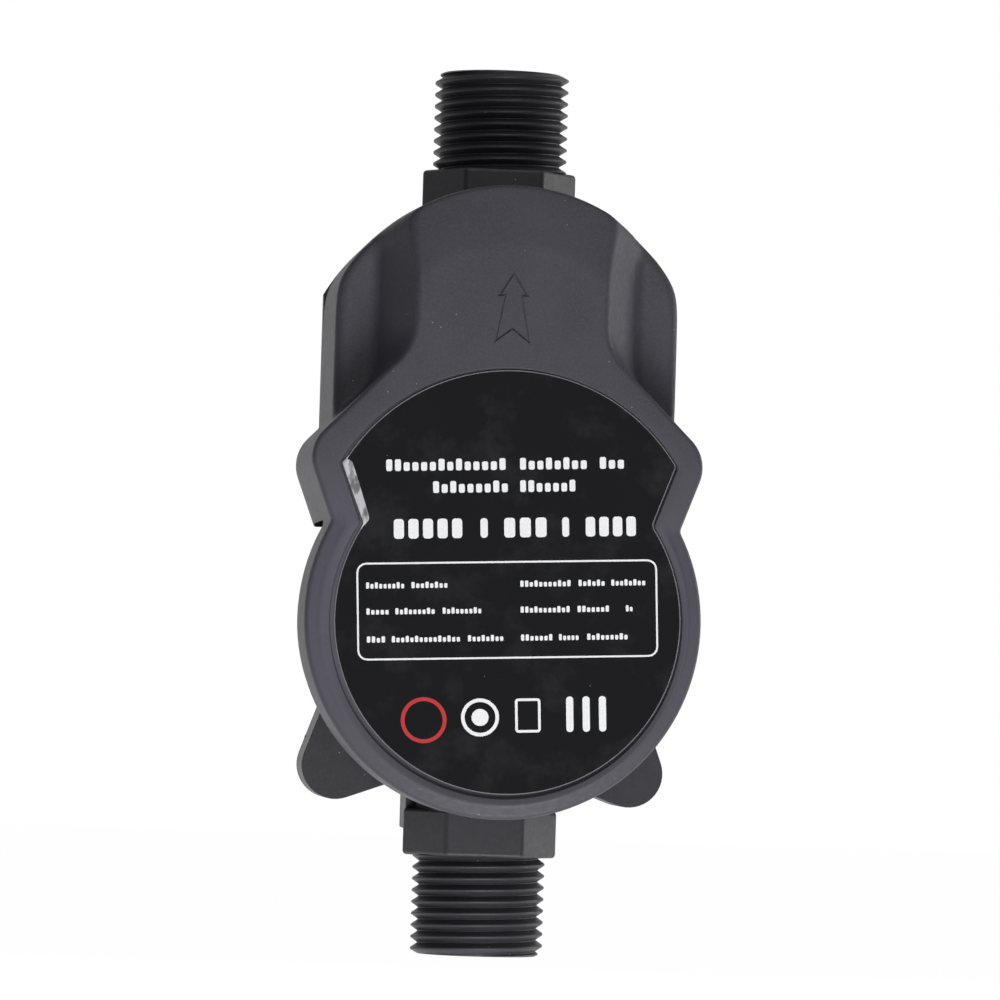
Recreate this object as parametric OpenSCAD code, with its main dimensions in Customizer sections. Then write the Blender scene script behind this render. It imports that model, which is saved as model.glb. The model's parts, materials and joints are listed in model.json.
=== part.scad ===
/* [Ports] */
// Overall length, from the inlet port's end to the outlet port's end
overall_len = 138; // [137:0.5:150]
// Radius of the water bore through both ports
port_bore_r = 7.5; // [7:0.1:7.8]
// Crest radius of the half-inch pipe thread on the outlet
outlet_crest_r = 10.4775; // [10.4:0.01:10.48]
// Crest radius of the same thread on the inlet, near the foot of its tolerance
inlet_crest_r = 10.34; // [10.34:0.01:10.38]
// Root radius of the pipe thread
thread_root_r = 9.3155; // [9.1:0.05:9.5]
// Distance from one thread crest to the next
thread_pitch = 1.814; // [1.7:0.01:1.9]
// Width of the flat on each crest
thread_flat = 0.25; // [0.15:0.05:0.4]
// Length of each threaded end
thread_len = 15.4; // [14.6:0.1:16]
// Hexagon collar, size across its flats
hex_flats = 21; // [20:0.1:21.4]
// Height of each hexagon collar
hex_h = 7.3; // [6.5:0.1:8]

/* [Front cover] */
// Distance from the port axis to the cover's front face
cover_front = 35.5; // [35:0.1:38]
// Radius of the round motor drum
drum_r = 30.3; // [30:0.1:32]
// Depth of the drum's side wall
drum_depth = 21; // [19:0.5:21.2]
// Wall of the cover
cover_wall = 2.2; // [1.8:0.1:2.4]
// Depth of the label recess
recess_depth = 1; // [0.6:0.1:1.4]
// Wall left under the label recess
recess_floor = 1.8; // [1.4:0.1:2]
// Width of the rim round the recess on the drum
rim_w = 4.1; // [3.5:0.1:5]
// Height of the arch's centre over the drum's top
hood_rise = 6; // [5:0.1:7]
// How far the hood's shoulders stand in from the drum's side
shoulder_in = 3.9; // [3.3:0.1:4.3]
// How far the shoulders lie behind the front face
shoulder_drop = 10.5; // [9:0.1:11]
// Half the width of the tower's front
tower_half = 14.6; // [13.5:0.1:15.5]
// Half the width of the tower at the shoulders
tower_base_half = 20.2; // [19:0.1:20.6]
// Radius where the tower flares into the drum
tower_fillet_r = 9.5; // [7:0.5:10]
// Width of the sloping band along the tower's top
crown_w = 9; // [7:0.5:10]
// How far that band falls back at the arch's edge
crown_drop = 2.6; // [1.5:0.1:2.8]
// Radius of the boss bump on each side
bump_r = 6; // [5.9:0.1:6.4]
// How far each bump's centre stands in from the drum's side
bump_in = 6.45; // [6.1:0.05:6.7]
// How far each bump's centre stands below the drum's top
bump_drop = 6.2; // [5.9:0.1:6.5]
// Lean of the edge below each bump, in degrees
bump_lean = 20.3; // [16:0.5:24]
// Width of the rim round the recess at the bumps
bump_rim = 4.8; // [4.5:0.1:5.2]
// How much less the recess's upper arc is than the drum's radius
label_arc_in = 3.9; // [3.3:0.1:4.8]
// Height of that arc's centre over the motor axis
label_arc_rise = 12; // [11:0.1:12.5]
// Thickness of the label
label_t = 0.25; // [0.15:0.05:0.4]

/* [Pump casing] */
// Height of the motor axis over the inlet port's end
rotor_z = 52; // [51.5:0.1:53]
// Distance from the port axis to the casing's front face
casing_front = 12; // [11.8:0.1:12.2]
// Distance from the port axis to the joint with the rear cover
casing_back = 10.8; // [10.7:0.1:12]
// Wall of the casing round the pump chamber
chamber_wall = 8.3; // [7.8:0.1:8.8]
// Distance from the port axis to the chamber's rear wall
chamber_back = 5; // [4.8:0.1:5.2]
// Thickness of the wall between the chamber and the inlet duct
divider_t = 2.3; // [2:0.1:2.5]
// Outer radius of the outlet pipe inside the hood
pipe_r = 10.2; // [9.9:0.1:10.4]
// Radius of the mounting lugs
lug_r = 5.3; // [5:0.1:5.6]
// How far each lug's screw stands in from the drum's side and its foot
lug_in = 7.3; // [7.1:0.1:7.4]
// Flare of the lugs towards the casing, in degrees
lug_flare = 25; // [20:1:28]
// Depth of the lugs
lug_t = 13; // [12:0.5:14]
// Radius of the upper ears, inside the hood
ear_r = 3.6; // [3.4:0.1:3.7]

/* [Rear cover] */
// Thickness of the rear cover's plate
plate_t = 3; // [2.5:0.1:4]
// How far the plate's round edge stands in from the drum's side
plate_in = 1.4; // [0.8:0.1:1.8]
// Inner depth of the inlet duct's bulge behind the joint
duct_depth = 10.2; // [8:0.2:12]
// Inner radius of the bulge round the motor axis
duct_r = 12.5; // [11.5:0.1:13.5]
// Wall of the bulge
duct_wall = 2.4; // [2:0.1:2.8]

/* [Motor] */
// Radius of the fixed shaft
shaft_r = 1.5; // [1.3:0.05:1.7]
// Outer radius of the rotor magnet
magnet_r = 10.6; // [10.2:0.1:10.7]
// Length of the stator stack and of the magnet
stack_len = 12; // [11:0.2:12]
// Inner radius of the isolating can
can_inner_r = 11.2; // [11.1:0.1:11.6]
// Wall of the isolating can
can_wall = 1.2; // [1:0.1:1.3]
// Clearance round the impeller in its chamber
impeller_gap = 2.5; // [1.5:0.1:3.5]
// Number of impeller vanes
vane_count = 6; // [5:1:7]
// Width of the vane passages
vane_h = 5; // [4.5:0.1:5.1]

/* [Flow switch] */
// Radius of the float
float_r = 6.9; // [6.5:0.05:7]
// Length of the float
float_len = 12; // [11:0.5:13]
// How far the flow lifts the float
float_lift = 8; // [6:0.5:9]
// Height of the float's seat over the inlet port's end
seat_z = 86; // [85:0.5:88]

/* [Hidden] */
$fn = 96;

// Overrun of every cut past the face that it opens
cut = 1;
// Gap between pieces that sit against each other
seat_gap = 0.2;
// Gap round a screw in the hole that it bites in
bite_gap = 0.05;
// Gap round a screw in the hole that it passes through
pass_gap = 0.3;
// Running gap between the shaft and what turns on it
running_gap = 0.04;

// Planes along Y, the front of the pump being at negative Y
front_y = -cover_front;
shoulder_y = front_y + shoulder_drop;
drum_back_y = front_y + drum_depth;
inner_front_y = front_y + recess_depth + recess_floor;
tower_inner_y = front_y + crown_drop + cover_wall;
casing_front_y = -casing_front;
seam_y = casing_back;
plate_back_y = seam_y + plate_t;
duct_back_y = seam_y + duct_depth;
lug_front_y = seam_y - lug_t;

// Widths and radii that follow the drum
arch_r = drum_r;
shoulder_half = drum_r - shoulder_in;
bump_x = drum_r - bump_in;
bump_rise = drum_r - bump_drop;
label_arc_r = drum_r - label_arc_in;
casing_r = drum_r - cover_wall - pass_gap;
stator_r = casing_r;
chamber_r = casing_r - chamber_wall;
impeller_r = chamber_r - impeller_gap;
plate_r = drum_r - plate_in;

// Places along Z
arch_z = rotor_z + drum_r + hood_rise;
bump_z = rotor_z + bump_rise;
label_arc_z = rotor_z + label_arc_rise;
inlet_hex_z = thread_len;
inlet_neck_z = thread_len + hex_h;
outlet_hex_z = overall_len - thread_len - hex_h;
outlet_thread_z = overall_len - thread_len;
hex_r = hex_flats / 2 / cos(30);

// The lower edge of a bump leans in until it meets the drum: this is how far it runs
bump_low = [bump_x + bump_r * cos(bump_lean), bump_rise - bump_r * sin(bump_lean)];
bump_run = bump_low[0] * sin(bump_lean) + bump_low[1] * cos(bump_lean);
bump_reach = bump_run - sqrt(bump_run ^ 2 - bump_low[0] ^ 2 - bump_low[1] ^ 2 + drum_r ^ 2);
notch_z = rotor_z + bump_low[1] - bump_reach * cos(bump_lean);

// A slab between two planes along Y, drawn as its front view
module slab(from_y, to_y) {
    translate([0, to_y, 0])
        rotate([90, 0, 0])
            linear_extrude(to_y - from_y)
                children();
}

// A round piece on the motor axis, between two planes along Y
module on_axis(r, from_y, to_y) {
    translate([0, from_y, rotor_z])
        rotate([-90, 0, 0])
            cylinder(r = r, h = to_y - from_y);
}

// A round piece along Y at a place in the front view
module rod(place, r, from_y, to_y) {
    translate([place[0], from_y, place[1]])
        rotate([-90, 0, 0])
            cylinder(r = r, h = to_y - from_y);
}

// A ring on the motor axis
module axis_ring(r, inner_r, from_y, to_y) {
    difference() {
        on_axis(r, from_y, to_y);
        on_axis(inner_r, from_y - cut, to_y + cut);
    }
}

// A block between two corners
module block(low, high) {
    translate(low)
        cube(high - low);
}

// Front view of one bump, drawn in by an inset
module bump_half(inset) {
    r = bump_r - inset;
    low = [bump_x + r * cos(bump_lean), bump_z - r * sin(bump_lean)];
    high = [bump_x + r * cos(45), bump_z + r * sin(45)];
    foot = low - bump_reach * [sin(bump_lean), cos(bump_lean)] - [inset, inset];
    translate([bump_x, bump_z])
        circle(r);
    polygon([[0, foot[1]], foot, low, high, [0, high[0] + high[1]]]);
}

module bump_outline(inset) {
    bump_half(inset);
    mirror([1, 0])
        bump_half(inset);
}

module drum_outline(inset) {
    translate([0, rotor_z])
        circle(drum_r - inset);
}

// Front view of the hood above the notches
module hood_outline(inset, floor_z) {
    half = shoulder_half - inset;
    intersection() {
        union() {
            intersection() {
                translate([0, arch_z])
                    circle(arch_r - inset);
                translate([-half, floor_z])
                    square([2 * half, arch_z + arch_r - floor_z]);
            }
            translate([-half, bump_z])
                square([2 * half, arch_z - bump_z]);
            bump_outline(inset);
        }
        translate([-drum_r, floor_z])
            square([2 * drum_r, arch_z + arch_r - floor_z]);
    }
}

// The fillet where the tower's edge flares into the slanting edge over a bump
module tower_flare() {
    slant = bump_x + bump_z + bump_r * sqrt(2);
    corner = [tower_half, slant - tower_half];
    run = tower_fillet_r * tan(22.5);
    difference() {
        polygon([corner, corner + [0, run], corner + run * [cos(45), -sin(45)], corner - [run, run]]);
        translate(corner + [tower_fillet_r, run])
            circle(tower_fillet_r);
    }
}

// Front view of everything that reaches the front face
module face_outline() {
    drum_outline(0);
    bump_outline(0);
    tower_flare();
    mirror([1, 0])
        tower_flare();
}

// The tower's sloping sides, as a plan drawn up to the arch
module tower_prism(front, front_half, base, base_half, low_z) {
    translate([0, 0, low_z])
        linear_extrude(arch_z + arch_r - low_z)
            polygon([[-front_half, front], [front_half, front], [base_half, base], [-base_half, base]]);
}

// The cone that makes the tower's top band fall back
module crown_cut() {
    inner = arch_r - crown_w;
    slope = crown_drop / crown_w;
    intersection() {
        translate([0, front_y, arch_z])
            rotate([-90, 0, 0])
                rotate_extrude()
                    polygon([
                        [inner - cut / slope, -cut],
                        [arch_r + cut / slope, -cut],
                        [arch_r + cut / slope, crown_drop + cut],
                    ]);
        block([-shoulder_half, front_y - cut, arch_z], [shoulder_half, shoulder_y, arch_z + arch_r + cut]);
    }
}

// Front view of the label recess
module label_outline(inset) {
    translate([0, rotor_z])
        circle(drum_r - rim_w - inset);
    intersection() {
        translate([0, label_arc_z])
            circle(label_arc_r - inset);
        bump_outline(bump_rim + inset);
    }
}

// Flow arrow, a fine engraved outline on the tower
arrow_rise = 11;
arrow_z = arch_z + arrow_rise;
arrow_len = 10.5;
arrow_barb = 2.2;
arrow_head = 3.3;
arrow_stem = 1.25;
arrow_foot = 2.4;
arrow_notch = 2;
arrow_line = 0.3;
arrow_depth = 0.3;

module arrow_outline(inset) {
    top = arrow_z + arrow_len / 2 - 2 * inset;
    low = arrow_z - arrow_len / 2;
    barb = top - arrow_head + inset;
    polygon([
        [0, top],
        [arrow_barb - 2 * inset, barb],
        [arrow_stem - inset, barb],
        [arrow_foot - inset, low + inset],
        [0, low + arrow_notch + inset],
        [-arrow_foot + inset, low + inset],
        [-arrow_stem + inset, barb],
        [-arrow_barb + 2 * inset, barb],
    ]);
}

module cover_shape() {
    slab(front_y, drum_back_y)
        drum_outline(0);
    slab(shoulder_y, seam_y)
        hood_outline(0, notch_z);
    difference() {
        union() {
            slab(front_y, shoulder_y + cut)
                face_outline();
            intersection() {
                tower_prism(front_y, tower_half, shoulder_y, tower_base_half, notch_z);
                slab(front_y, seam_y)
                    hood_outline(0, notch_z);
            }
        }
        crown_cut();
    }
}

module cover_hollow() {
    slab(inner_front_y, drum_back_y + cut)
        drum_outline(cover_wall);
    slab(shoulder_y + cover_wall, seam_y + cut)
        hood_outline(cover_wall, rotor_z);
    slab(inner_front_y, shoulder_y + cover_wall + cut)
        intersection() {
            bump_outline(cover_wall);
            translate([0, label_arc_z])
                circle(label_arc_r);
        }
    intersection() {
        tower_prism(tower_inner_y, tower_half - cover_wall, shoulder_y + cover_wall,
            tower_base_half - cover_wall, label_arc_z);
        slab(tower_inner_y, seam_y)
            hood_outline(cover_wall, notch_z);
    }
}

// Screws that hold the rear cover
screw_r = 1.9;
screw_head_r = 3.6;
screw_head_h = 2.4;
screw_grip = 13.4;
screw_point = 1.5;
drive_w = 0.9;
drive_reach = 2.2;
drive_depth = 1.4;

boss_in = 0.85;
boss_drop = 1.1;
lug_place = drum_r - lug_in;

upper_places = [for (side = [1, -1]) [side * (bump_x - boss_in), bump_z - boss_drop]];
lower_places = [for (side = [1, -1]) [side * lug_place, rotor_z - lug_place]];

// A screw along Y, from under its head towards the front
module screw(place, length, head_y) {
    difference() {
        union() {
            rod(place, screw_head_r, head_y, head_y + screw_head_h);
            rod(place, screw_r, head_y - length, head_y + screw_head_h / 2);
        }
        translate([place[0], head_y + screw_head_h - drive_depth, place[1]]) {
            block([-drive_reach, 0, -drive_w / 2], [drive_reach, drive_depth + cut, drive_w / 2]);
            block([-drive_w / 2, 0, -drive_reach], [drive_w / 2, drive_depth + cut, drive_reach]);
        }
    }
}

// The upper screws end in pillars of the hood
pillar_back_y = lug_front_y - seat_gap;
long_screw_len = plate_t + lug_t + screw_grip;
short_screw_len = plate_t + lug_t - screw_point;

// The control board and the pillars that carry it
board_t = 1.6;
board_side_gap = 1;
board_arch_gap = 0.635;
board_rise = 1.7;
board_half = shoulder_half - cover_wall - board_side_gap;
board_standoff = 2.8;
board_front_y = shoulder_y + cover_wall + board_standoff;
board_back_y = board_front_y + board_t;
board_low_z = rotor_z + drum_r + board_rise;
board_high_z = arch_z + sqrt((arch_r - cover_wall - board_arch_gap) ^ 2 - board_half ^ 2);
board_pillar_r = 2.2;
board_edge = 2.1;
board_places = [for (x = [-1, 1]) for (z = [board_low_z + board_pillar_r, board_high_z - board_pillar_r])
    [x * (board_half - board_edge), z]];
board_screw_r = 1.1;
board_screw_head_r = 2.05;
board_screw_head_h = 1.3;
board_screw_len = 4.4;

module front_cover() {
    color([0.27, 0.265, 0.3])
        difference() {
            union() {
                difference() {
                    cover_shape();
                    cover_hollow();
                }
                intersection() {
                    union() {
                        for (place = upper_places)
                            rod(place, ear_r, inner_front_y - cut / 2, pillar_back_y);
                        for (place = board_places)
                            rod(place, board_pillar_r, shoulder_y + cover_wall / 2, board_front_y);
                    }
                    slab(front_y, seam_y)
                        hood_outline(cover_wall / 2, notch_z);
                }
            }
            on_axis(casing_r + seat_gap, casing_front_y - seat_gap, seam_y + cut);
            slab(front_y - cut, front_y + recess_depth)
                label_outline(0);
            slab(front_y - cut, front_y + arrow_depth)
                difference() {
                    arrow_outline(0);
                    arrow_outline(arrow_line);
                }
            hexagon(arch_z + arch_r / 2, arch_z + arch_r + cut, pass_gap);
            block([-hex_r - pass_gap, 0, arch_z + arch_r / 2],
                [hex_r + pass_gap, seam_y + cut, arch_z + arch_r + cut]);
            for (place = upper_places)
                rod(place, screw_r + bite_gap, plate_back_y - long_screw_len - bite_gap, seam_y + cut);
            for (place = board_places)
                rod(place, board_screw_r + bite_gap, board_back_y - board_screw_len - bite_gap, seam_y);
        }
}

label_gap = 0.25;

module label_plate() {
    label_y = front_y + recess_depth;
    color([0.12, 0.12, 0.13])
        slab(label_y - label_t, label_y)
            label_outline(label_gap);
}

// One threaded end, from its open end inwards
module port_thread(crest_r) {
    turns = floor(thread_len / thread_pitch);
    flank = thread_pitch / 2 - thread_flat;
    rotate_extrude()
        polygon(concat(
            [[0, 0], [thread_root_r, 0]],
            [for (i = [0:turns - 1]) for (point = [
                [thread_root_r, thread_flat / 2],
                [crest_r, thread_flat / 2 + flank],
                [crest_r, thread_flat * 3 / 2 + flank],
                [thread_root_r, thread_flat * 3 / 2 + 2 * flank],
            ]) [point[0], point[1] + i * thread_pitch]],
            [[thread_root_r, thread_len + cut], [0, thread_len + cut]]
        ));
}

module hexagon(from_z, to_z, grow) {
    translate([0, 0, from_z])
        cylinder(r = hex_r + grow, h = to_z - from_z, $fn = 6);
}

// A lug and its flare towards the motor axis, in the front view
module lug_outline(place, r, flare) {
    away = [place[0], place[1] - rotor_z];
    reach = norm(away);
    along = away / reach;
    across = [-along[1], along[0]];
    root_r = r + reach * sin(flare);
    translate(place)
        circle(r);
    polygon([
        place + r * (sin(flare) * along + cos(flare) * across),
        place + r * (sin(flare) * along - cos(flare) * across),
        [0, rotor_z] + root_r * (sin(flare) * along - cos(flare) * across),
        [0, rotor_z] + root_r * (sin(flare) * along + cos(flare) * across),
    ]);
}

// The inlet duct behind the chamber: from over the inlet port to the impeller's eye
duct_half = 7.5;
duct_rise = 1.9;
duct_low_z = inlet_neck_z + duct_rise;
duct_foot_z = duct_low_z + duct_half;
duct_roof_t = 2.5;
duct_roof_z = rotor_z - chamber_r - duct_roof_t;
recess_r = 14;
seal_land = 1.4;
seal_w = 2;
seal_t = 1.7;
seal_gap = 0.05;
neck_rim = 0.8;
neck_sill = 1.8;
neck_half = duct_half + seal_land + seal_w + neck_rim;
neck_low_z = duct_low_z - seal_land - seal_w - neck_sill;

module duct_outline(r, half) {
    translate([0, rotor_z])
        circle(r);
    translate([0, duct_foot_z])
        circle(half);
    translate([-half, duct_foot_z])
        square([2 * half, rotor_z - duct_foot_z]);
}

module duct_track(grow) {
    duct_outline(recess_r + grow, duct_half + grow);
}

// The eye in the divider, its collar and the spider that holds the shaft's rear end
neck_ring_r = 7.2;
eye_gap = 0.35;
eye_r = neck_ring_r + eye_gap;
neck_reach = 1;
collar_wall = 2;
collar_set = 0.8;
collar_back_y = seam_y - collar_set;
spider_hub_r = 3.4;
spider_set = 2;
spider_front_y = chamber_back + spider_set;
spider_arm_w = 1.6;
spider_arm_y = spider_front_y + pass_gap;
pocket_floor = 0.9;
shaft_back_y = collar_back_y - pocket_floor;

// The can's seal, in a groove of the casing's front face
can_flange_t = 2.2;
can_flange_set = 1.2;
can_flange_r = casing_r - can_flange_set;
can_seal_set = 1.7;
can_seal_r = chamber_r + can_seal_set;
can_seal_wire = 0.8;
can_screw_r = 1.4;
can_screw_head_r = 2.3;
can_screw_head_h = 1.9;
can_screw_len = 9;
can_screw_in = 3.7;
can_screw_ring = casing_r - can_screw_in;
can_screw_places = [for (a = [60, 120, 240, 300])
    [can_screw_ring * cos(a), rotor_z + can_screw_ring * sin(a)]];

// The lip of the casing that closes the drum from behind, below the notches
lip_len = 5.3;
lip_r = drum_r - pass_gap;
lip_front_y = drum_back_y + seat_gap;
lip_back_y = lip_front_y + lip_len;

// Pad on the outlet pipe for the flow sensor's board
pad_half = 4.6;
pad_rise = 1.4;
pad_y = -pipe_r - pad_rise;
pad_set = 6;
pad_h = 16;
pad_low_z = seat_z + pad_set;
pad_high_z = pad_low_z + pad_h;

// Seat of the float in the outlet pipe
seat_r = 5.6;
seat_t = 2;
seat_root = 0.5;

module casing_solid() {
    on_axis(casing_r, casing_front_y, seam_y);
    intersection() {
        axis_ring(lip_r, can_flange_r + seat_gap, lip_front_y, lip_back_y);
        block([-drum_r, lip_front_y, 0], [drum_r, lip_back_y, notch_z - seat_gap]);
    }
    for (place = lower_places)
        slab(lug_front_y, seam_y)
            lug_outline(place, lug_r, lug_flare);
    for (place = upper_places)
        slab(lug_front_y, seam_y)
            lug_outline(place, ear_r, lug_flare / 4);
    block([-neck_half, 0, neck_low_z], [neck_half, seam_y, rotor_z]);
    translate([0, 0, inlet_neck_z - cut])
        cylinder(r = pipe_r, h = rotor_z - inlet_neck_z + cut);
    translate([0, 0, rotor_z])
        cylinder(r = pipe_r, h = outlet_hex_z - rotor_z + cut);
    block([-pad_half, pad_y, pad_low_z], [pad_half, 0, pad_high_z]);
    port_thread(inlet_crest_r);
    hexagon(inlet_hex_z, inlet_neck_z, 0);
    translate([0, 0, overall_len])
        mirror([0, 0, 1])
            port_thread(outlet_crest_r);
    hexagon(outlet_hex_z, outlet_thread_z, 0);
}

module pump_body() {
    color([0.13, 0.13, 0.14]) {
        difference() {
            casing_solid();
            translate([0, 0, -cut])
                cylinder(r = port_bore_r, h = duct_roof_z + cut);
            translate([0, 0, rotor_z + chamber_r / 2])
                cylinder(r = port_bore_r, h = overall_len - rotor_z);
            block([-duct_half + seat_gap, 0, duct_low_z], [duct_half - seat_gap, seam_y + cut, duct_roof_z]);
            on_axis(chamber_r, casing_front_y - cut, chamber_back);
            on_axis(eye_r, 0, seam_y + cut);
            difference() {
                slab(chamber_back + divider_t, seam_y + cut)
                    duct_track(0);
                on_axis(eye_r + collar_wall, 0, collar_back_y);
            }
            slab(seam_y - seal_t, seam_y + cut)
                difference() {
                    duct_track(seal_land + seal_w);
                    duct_track(seal_land);
                }
            axis_ring(can_seal_r + can_seal_wire + seal_gap, can_seal_r - can_seal_wire - seal_gap,
                casing_front_y - cut, casing_front_y + 2 * can_seal_wire + seal_gap);
            for (place = can_screw_places)
                rod(place, can_screw_r + bite_gap, casing_front_y - cut, casing_front_y + can_screw_len);
            for (place = upper_places)
                rod(place, screw_r + pass_gap, lug_front_y - cut, seam_y + cut);
            for (place = lower_places)
                rod(place, screw_r + bite_gap, seam_y + plate_t - short_screw_len - bite_gap, seam_y + cut);
        }
        translate([0, 0, seat_z - seat_t])
            difference() {
                cylinder(r = port_bore_r + seat_root, h = seat_t);
                translate([0, 0, -cut])
                    cylinder(r = seat_r, h = seat_t + 2 * cut);
            }
        difference() {
            union() {
                on_axis(spider_hub_r, spider_front_y, collar_back_y);
                intersection() {
                    on_axis(eye_r + collar_wall / 2, spider_arm_y, collar_back_y);
                    for (a = [0:120:240])
                        translate([0, spider_arm_y, rotor_z])
                            rotate([0, a, 0])
                                block([-spider_arm_w / 2, 0, 0],
                                    [spider_arm_w / 2, collar_back_y - spider_arm_y, eye_r + collar_wall]);
                }
            }
            on_axis(shaft_r + bite_gap, 0, shaft_back_y + bite_gap);
        }
    }
}

// Small locating nubs at the rear cover's edge
nub_r = 0.9;
nub_out = 3.3;
nub_over = 4;
nub_place = [lug_place + nub_out, rotor_z - lug_place + nub_over];
gland_in = 10.4;
gland_drop = 20.6;
gland_place = [shoulder_half - gland_in, arch_z + arch_r - gland_drop];
gland_hole_r = 4;

module rear_outline() {
    intersection() {
        translate([0, rotor_z])
            circle(plate_r);
        translate([-drum_r, 0])
            square([2 * drum_r, notch_z + cut]);
    }
    hood_outline(0, notch_z);
    for (place = lower_places)
        lug_outline(place, lug_r, lug_flare);
    for (side = [-1, 1])
        translate([side * nub_place[0], nub_place[1]])
            circle(nub_r);
    translate([-neck_half, neck_low_z])
        square([2 * neck_half, rotor_z - neck_low_z]);
}

// The tongue that closes the hood's slot behind the outlet collar
module arch_tongue() {
    difference() {
        intersection() {
            slab(pass_gap, seam_y + cut)
                difference() {
                    hood_outline(0, arch_z);
                    hood_outline(cover_wall, arch_z);
                }
            block([-hex_r, 0, arch_z], [hex_r, seam_y + cut, arch_z + arch_r]);
        }
        hexagon(arch_z, arch_z + arch_r + cut, pass_gap);
    }
}

module rear_cover() {
    color([0.1, 0.1, 0.11])
        difference() {
            union() {
                slab(seam_y, plate_back_y)
                    rear_outline();
                slab(seam_y, duct_back_y + duct_wall)
                    duct_outline(duct_r + duct_wall, duct_half + duct_wall);
                arch_tongue();
            }
            slab(seam_y - cut, duct_back_y)
                duct_outline(duct_r, duct_half);
            for (place = concat(upper_places, lower_places))
                rod(place, screw_r + pass_gap, seam_y - cut, plate_back_y + cut);
            rod(gland_place, gland_hole_r, seam_y - cut, plate_back_y + cut);
        }
}

module long_screws() {
    color([0.62, 0.62, 0.64])
        for (place = upper_places)
            screw(place, long_screw_len, plate_back_y);
}

module short_screws() {
    color([0.62, 0.62, 0.64])
        for (place = lower_places)
            screw(place, short_screw_len, plate_back_y);
}

module cover_seal() {
    color([0.08, 0.08, 0.08])
        slab(seam_y - seal_t + seal_gap, seam_y)
            difference() {
                duct_track(seal_land + seal_w - seal_gap);
                duct_track(seal_land + seal_gap);
            }
}

// The can that keeps the water away from the stator
can_r = can_inner_r + can_wall;
rotor_gap = 0.05;
washer_t = 0.6;
coil_over = 2;
can_head = 1;
can_boss_len = 1.9;
stack_back_y = casing_front_y - can_flange_t - coil_over - pass_gap;
stack_front_y = stack_back_y - stack_len;
can_front_y = stack_front_y - coil_over - can_head;
can_boss_r = 3.2;
can_boss_y = can_front_y + can_wall + can_boss_len;
shaft_front_y = can_front_y + can_wall / 2;

module isolating_can() {
    color([0.2, 0.2, 0.22])
        difference() {
            union() {
                on_axis(can_r, can_front_y, casing_front_y);
                on_axis(can_flange_r, casing_front_y - can_flange_t, casing_front_y);
            }
            difference() {
                on_axis(can_inner_r, can_front_y + can_wall, casing_front_y + cut);
                on_axis(can_boss_r, can_front_y, can_boss_y);
            }
            on_axis(shaft_r + bite_gap, shaft_front_y - bite_gap, can_boss_y + cut);
            for (place = can_screw_places)
                rod(place, can_screw_r + pass_gap, casing_front_y - can_flange_t - cut, casing_front_y + cut);
        }
}

module can_seal() {
    color([0.08, 0.08, 0.08])
        translate([0, casing_front_y + can_seal_wire, rotor_z])
            rotate([-90, 0, 0])
                rotate_extrude()
                    translate([can_seal_r, 0])
                        circle(can_seal_wire);
}

module can_screws() {
    head_y = casing_front_y - can_flange_t;
    color([0.62, 0.62, 0.64])
        for (place = can_screw_places)
            difference() {
                union() {
                    rod(place, can_screw_head_r, head_y - can_screw_head_h, head_y);
                    rod(place, can_screw_r, head_y - cut / 2, head_y + can_screw_len);
                }
                translate([place[0], head_y - can_screw_head_h, place[1]]) {
                    block([-can_screw_r, -cut, -drive_w / 2], [can_screw_r, drive_w, drive_w / 2]);
                    block([-drive_w / 2, -cut, -can_screw_r], [drive_w / 2, drive_w, can_screw_r]);
                }
            }
}

module shaft() {
    color([0.93, 0.92, 0.88])
        on_axis(shaft_r, shaft_front_y, shaft_back_y);
}

washer_r = 2.8;
washer_gap = 0.02;

module thrust_washers() {
    color([0.85, 0.83, 0.78]) {
        axis_ring(washer_r, shaft_r + washer_gap, can_boss_y, can_boss_y + washer_t);
        axis_ring(washer_r, shaft_r + washer_gap, spider_front_y - washer_t, spider_front_y);
    }
}

// The rotor: magnet, moulded hub with its impeller, and the two bearings in it
bearing_r = 2.9;
bearing_len = 6;
hub_r = 3.9;
hub_front_y = can_boss_y + washer_t + rotor_gap;
hub_back_y = spider_front_y - washer_t - rotor_gap;
hub_core_r = 5;
magnet_front_y = hub_front_y;
magnet_back_y = stack_back_y;
magnet_rest = 1;
shroud_t = 1.4;
shroud_gap = 2;
impeller_disc_t = 1.6;
passage_front_y = chamber_back - shroud_gap - shroud_t - vane_h;
eye_inner_r = 6.6;
vane_t = 1.2;
vane_arc_r = 9;
vane_centre_r = 11;

module front_bearing() {
    color([0.25, 0.25, 0.27])
        axis_ring(bearing_r, shaft_r + running_gap, hub_front_y, hub_front_y + bearing_len);
}

module rear_bearing() {
    color([0.25, 0.25, 0.27])
        axis_ring(bearing_r, shaft_r + running_gap, hub_back_y - bearing_len, hub_back_y);
}

module rotor_magnet() {
    color([0.17, 0.17, 0.18])
        axis_ring(magnet_r, hub_core_r, magnet_front_y, magnet_back_y);
}

// One curved vane, from the eye to the impeller's rim
module vane() {
    swing = vane_centre_r ^ 2 + vane_arc_r ^ 2;
    twice = 2 * vane_centre_r * vane_arc_r;
    from_angle = acos(((impeller_r - vane_t / 2) ^ 2 - swing) / twice);
    to_angle = acos((eye_inner_r ^ 2 - swing) / twice);
    translate([vane_centre_r, 0, 0])
        rotate([0, 0, from_angle])
            rotate_extrude(angle = to_angle - from_angle)
                translate([vane_arc_r - vane_t / 2, 0])
                    square([vane_t, vane_h]);
}

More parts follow.
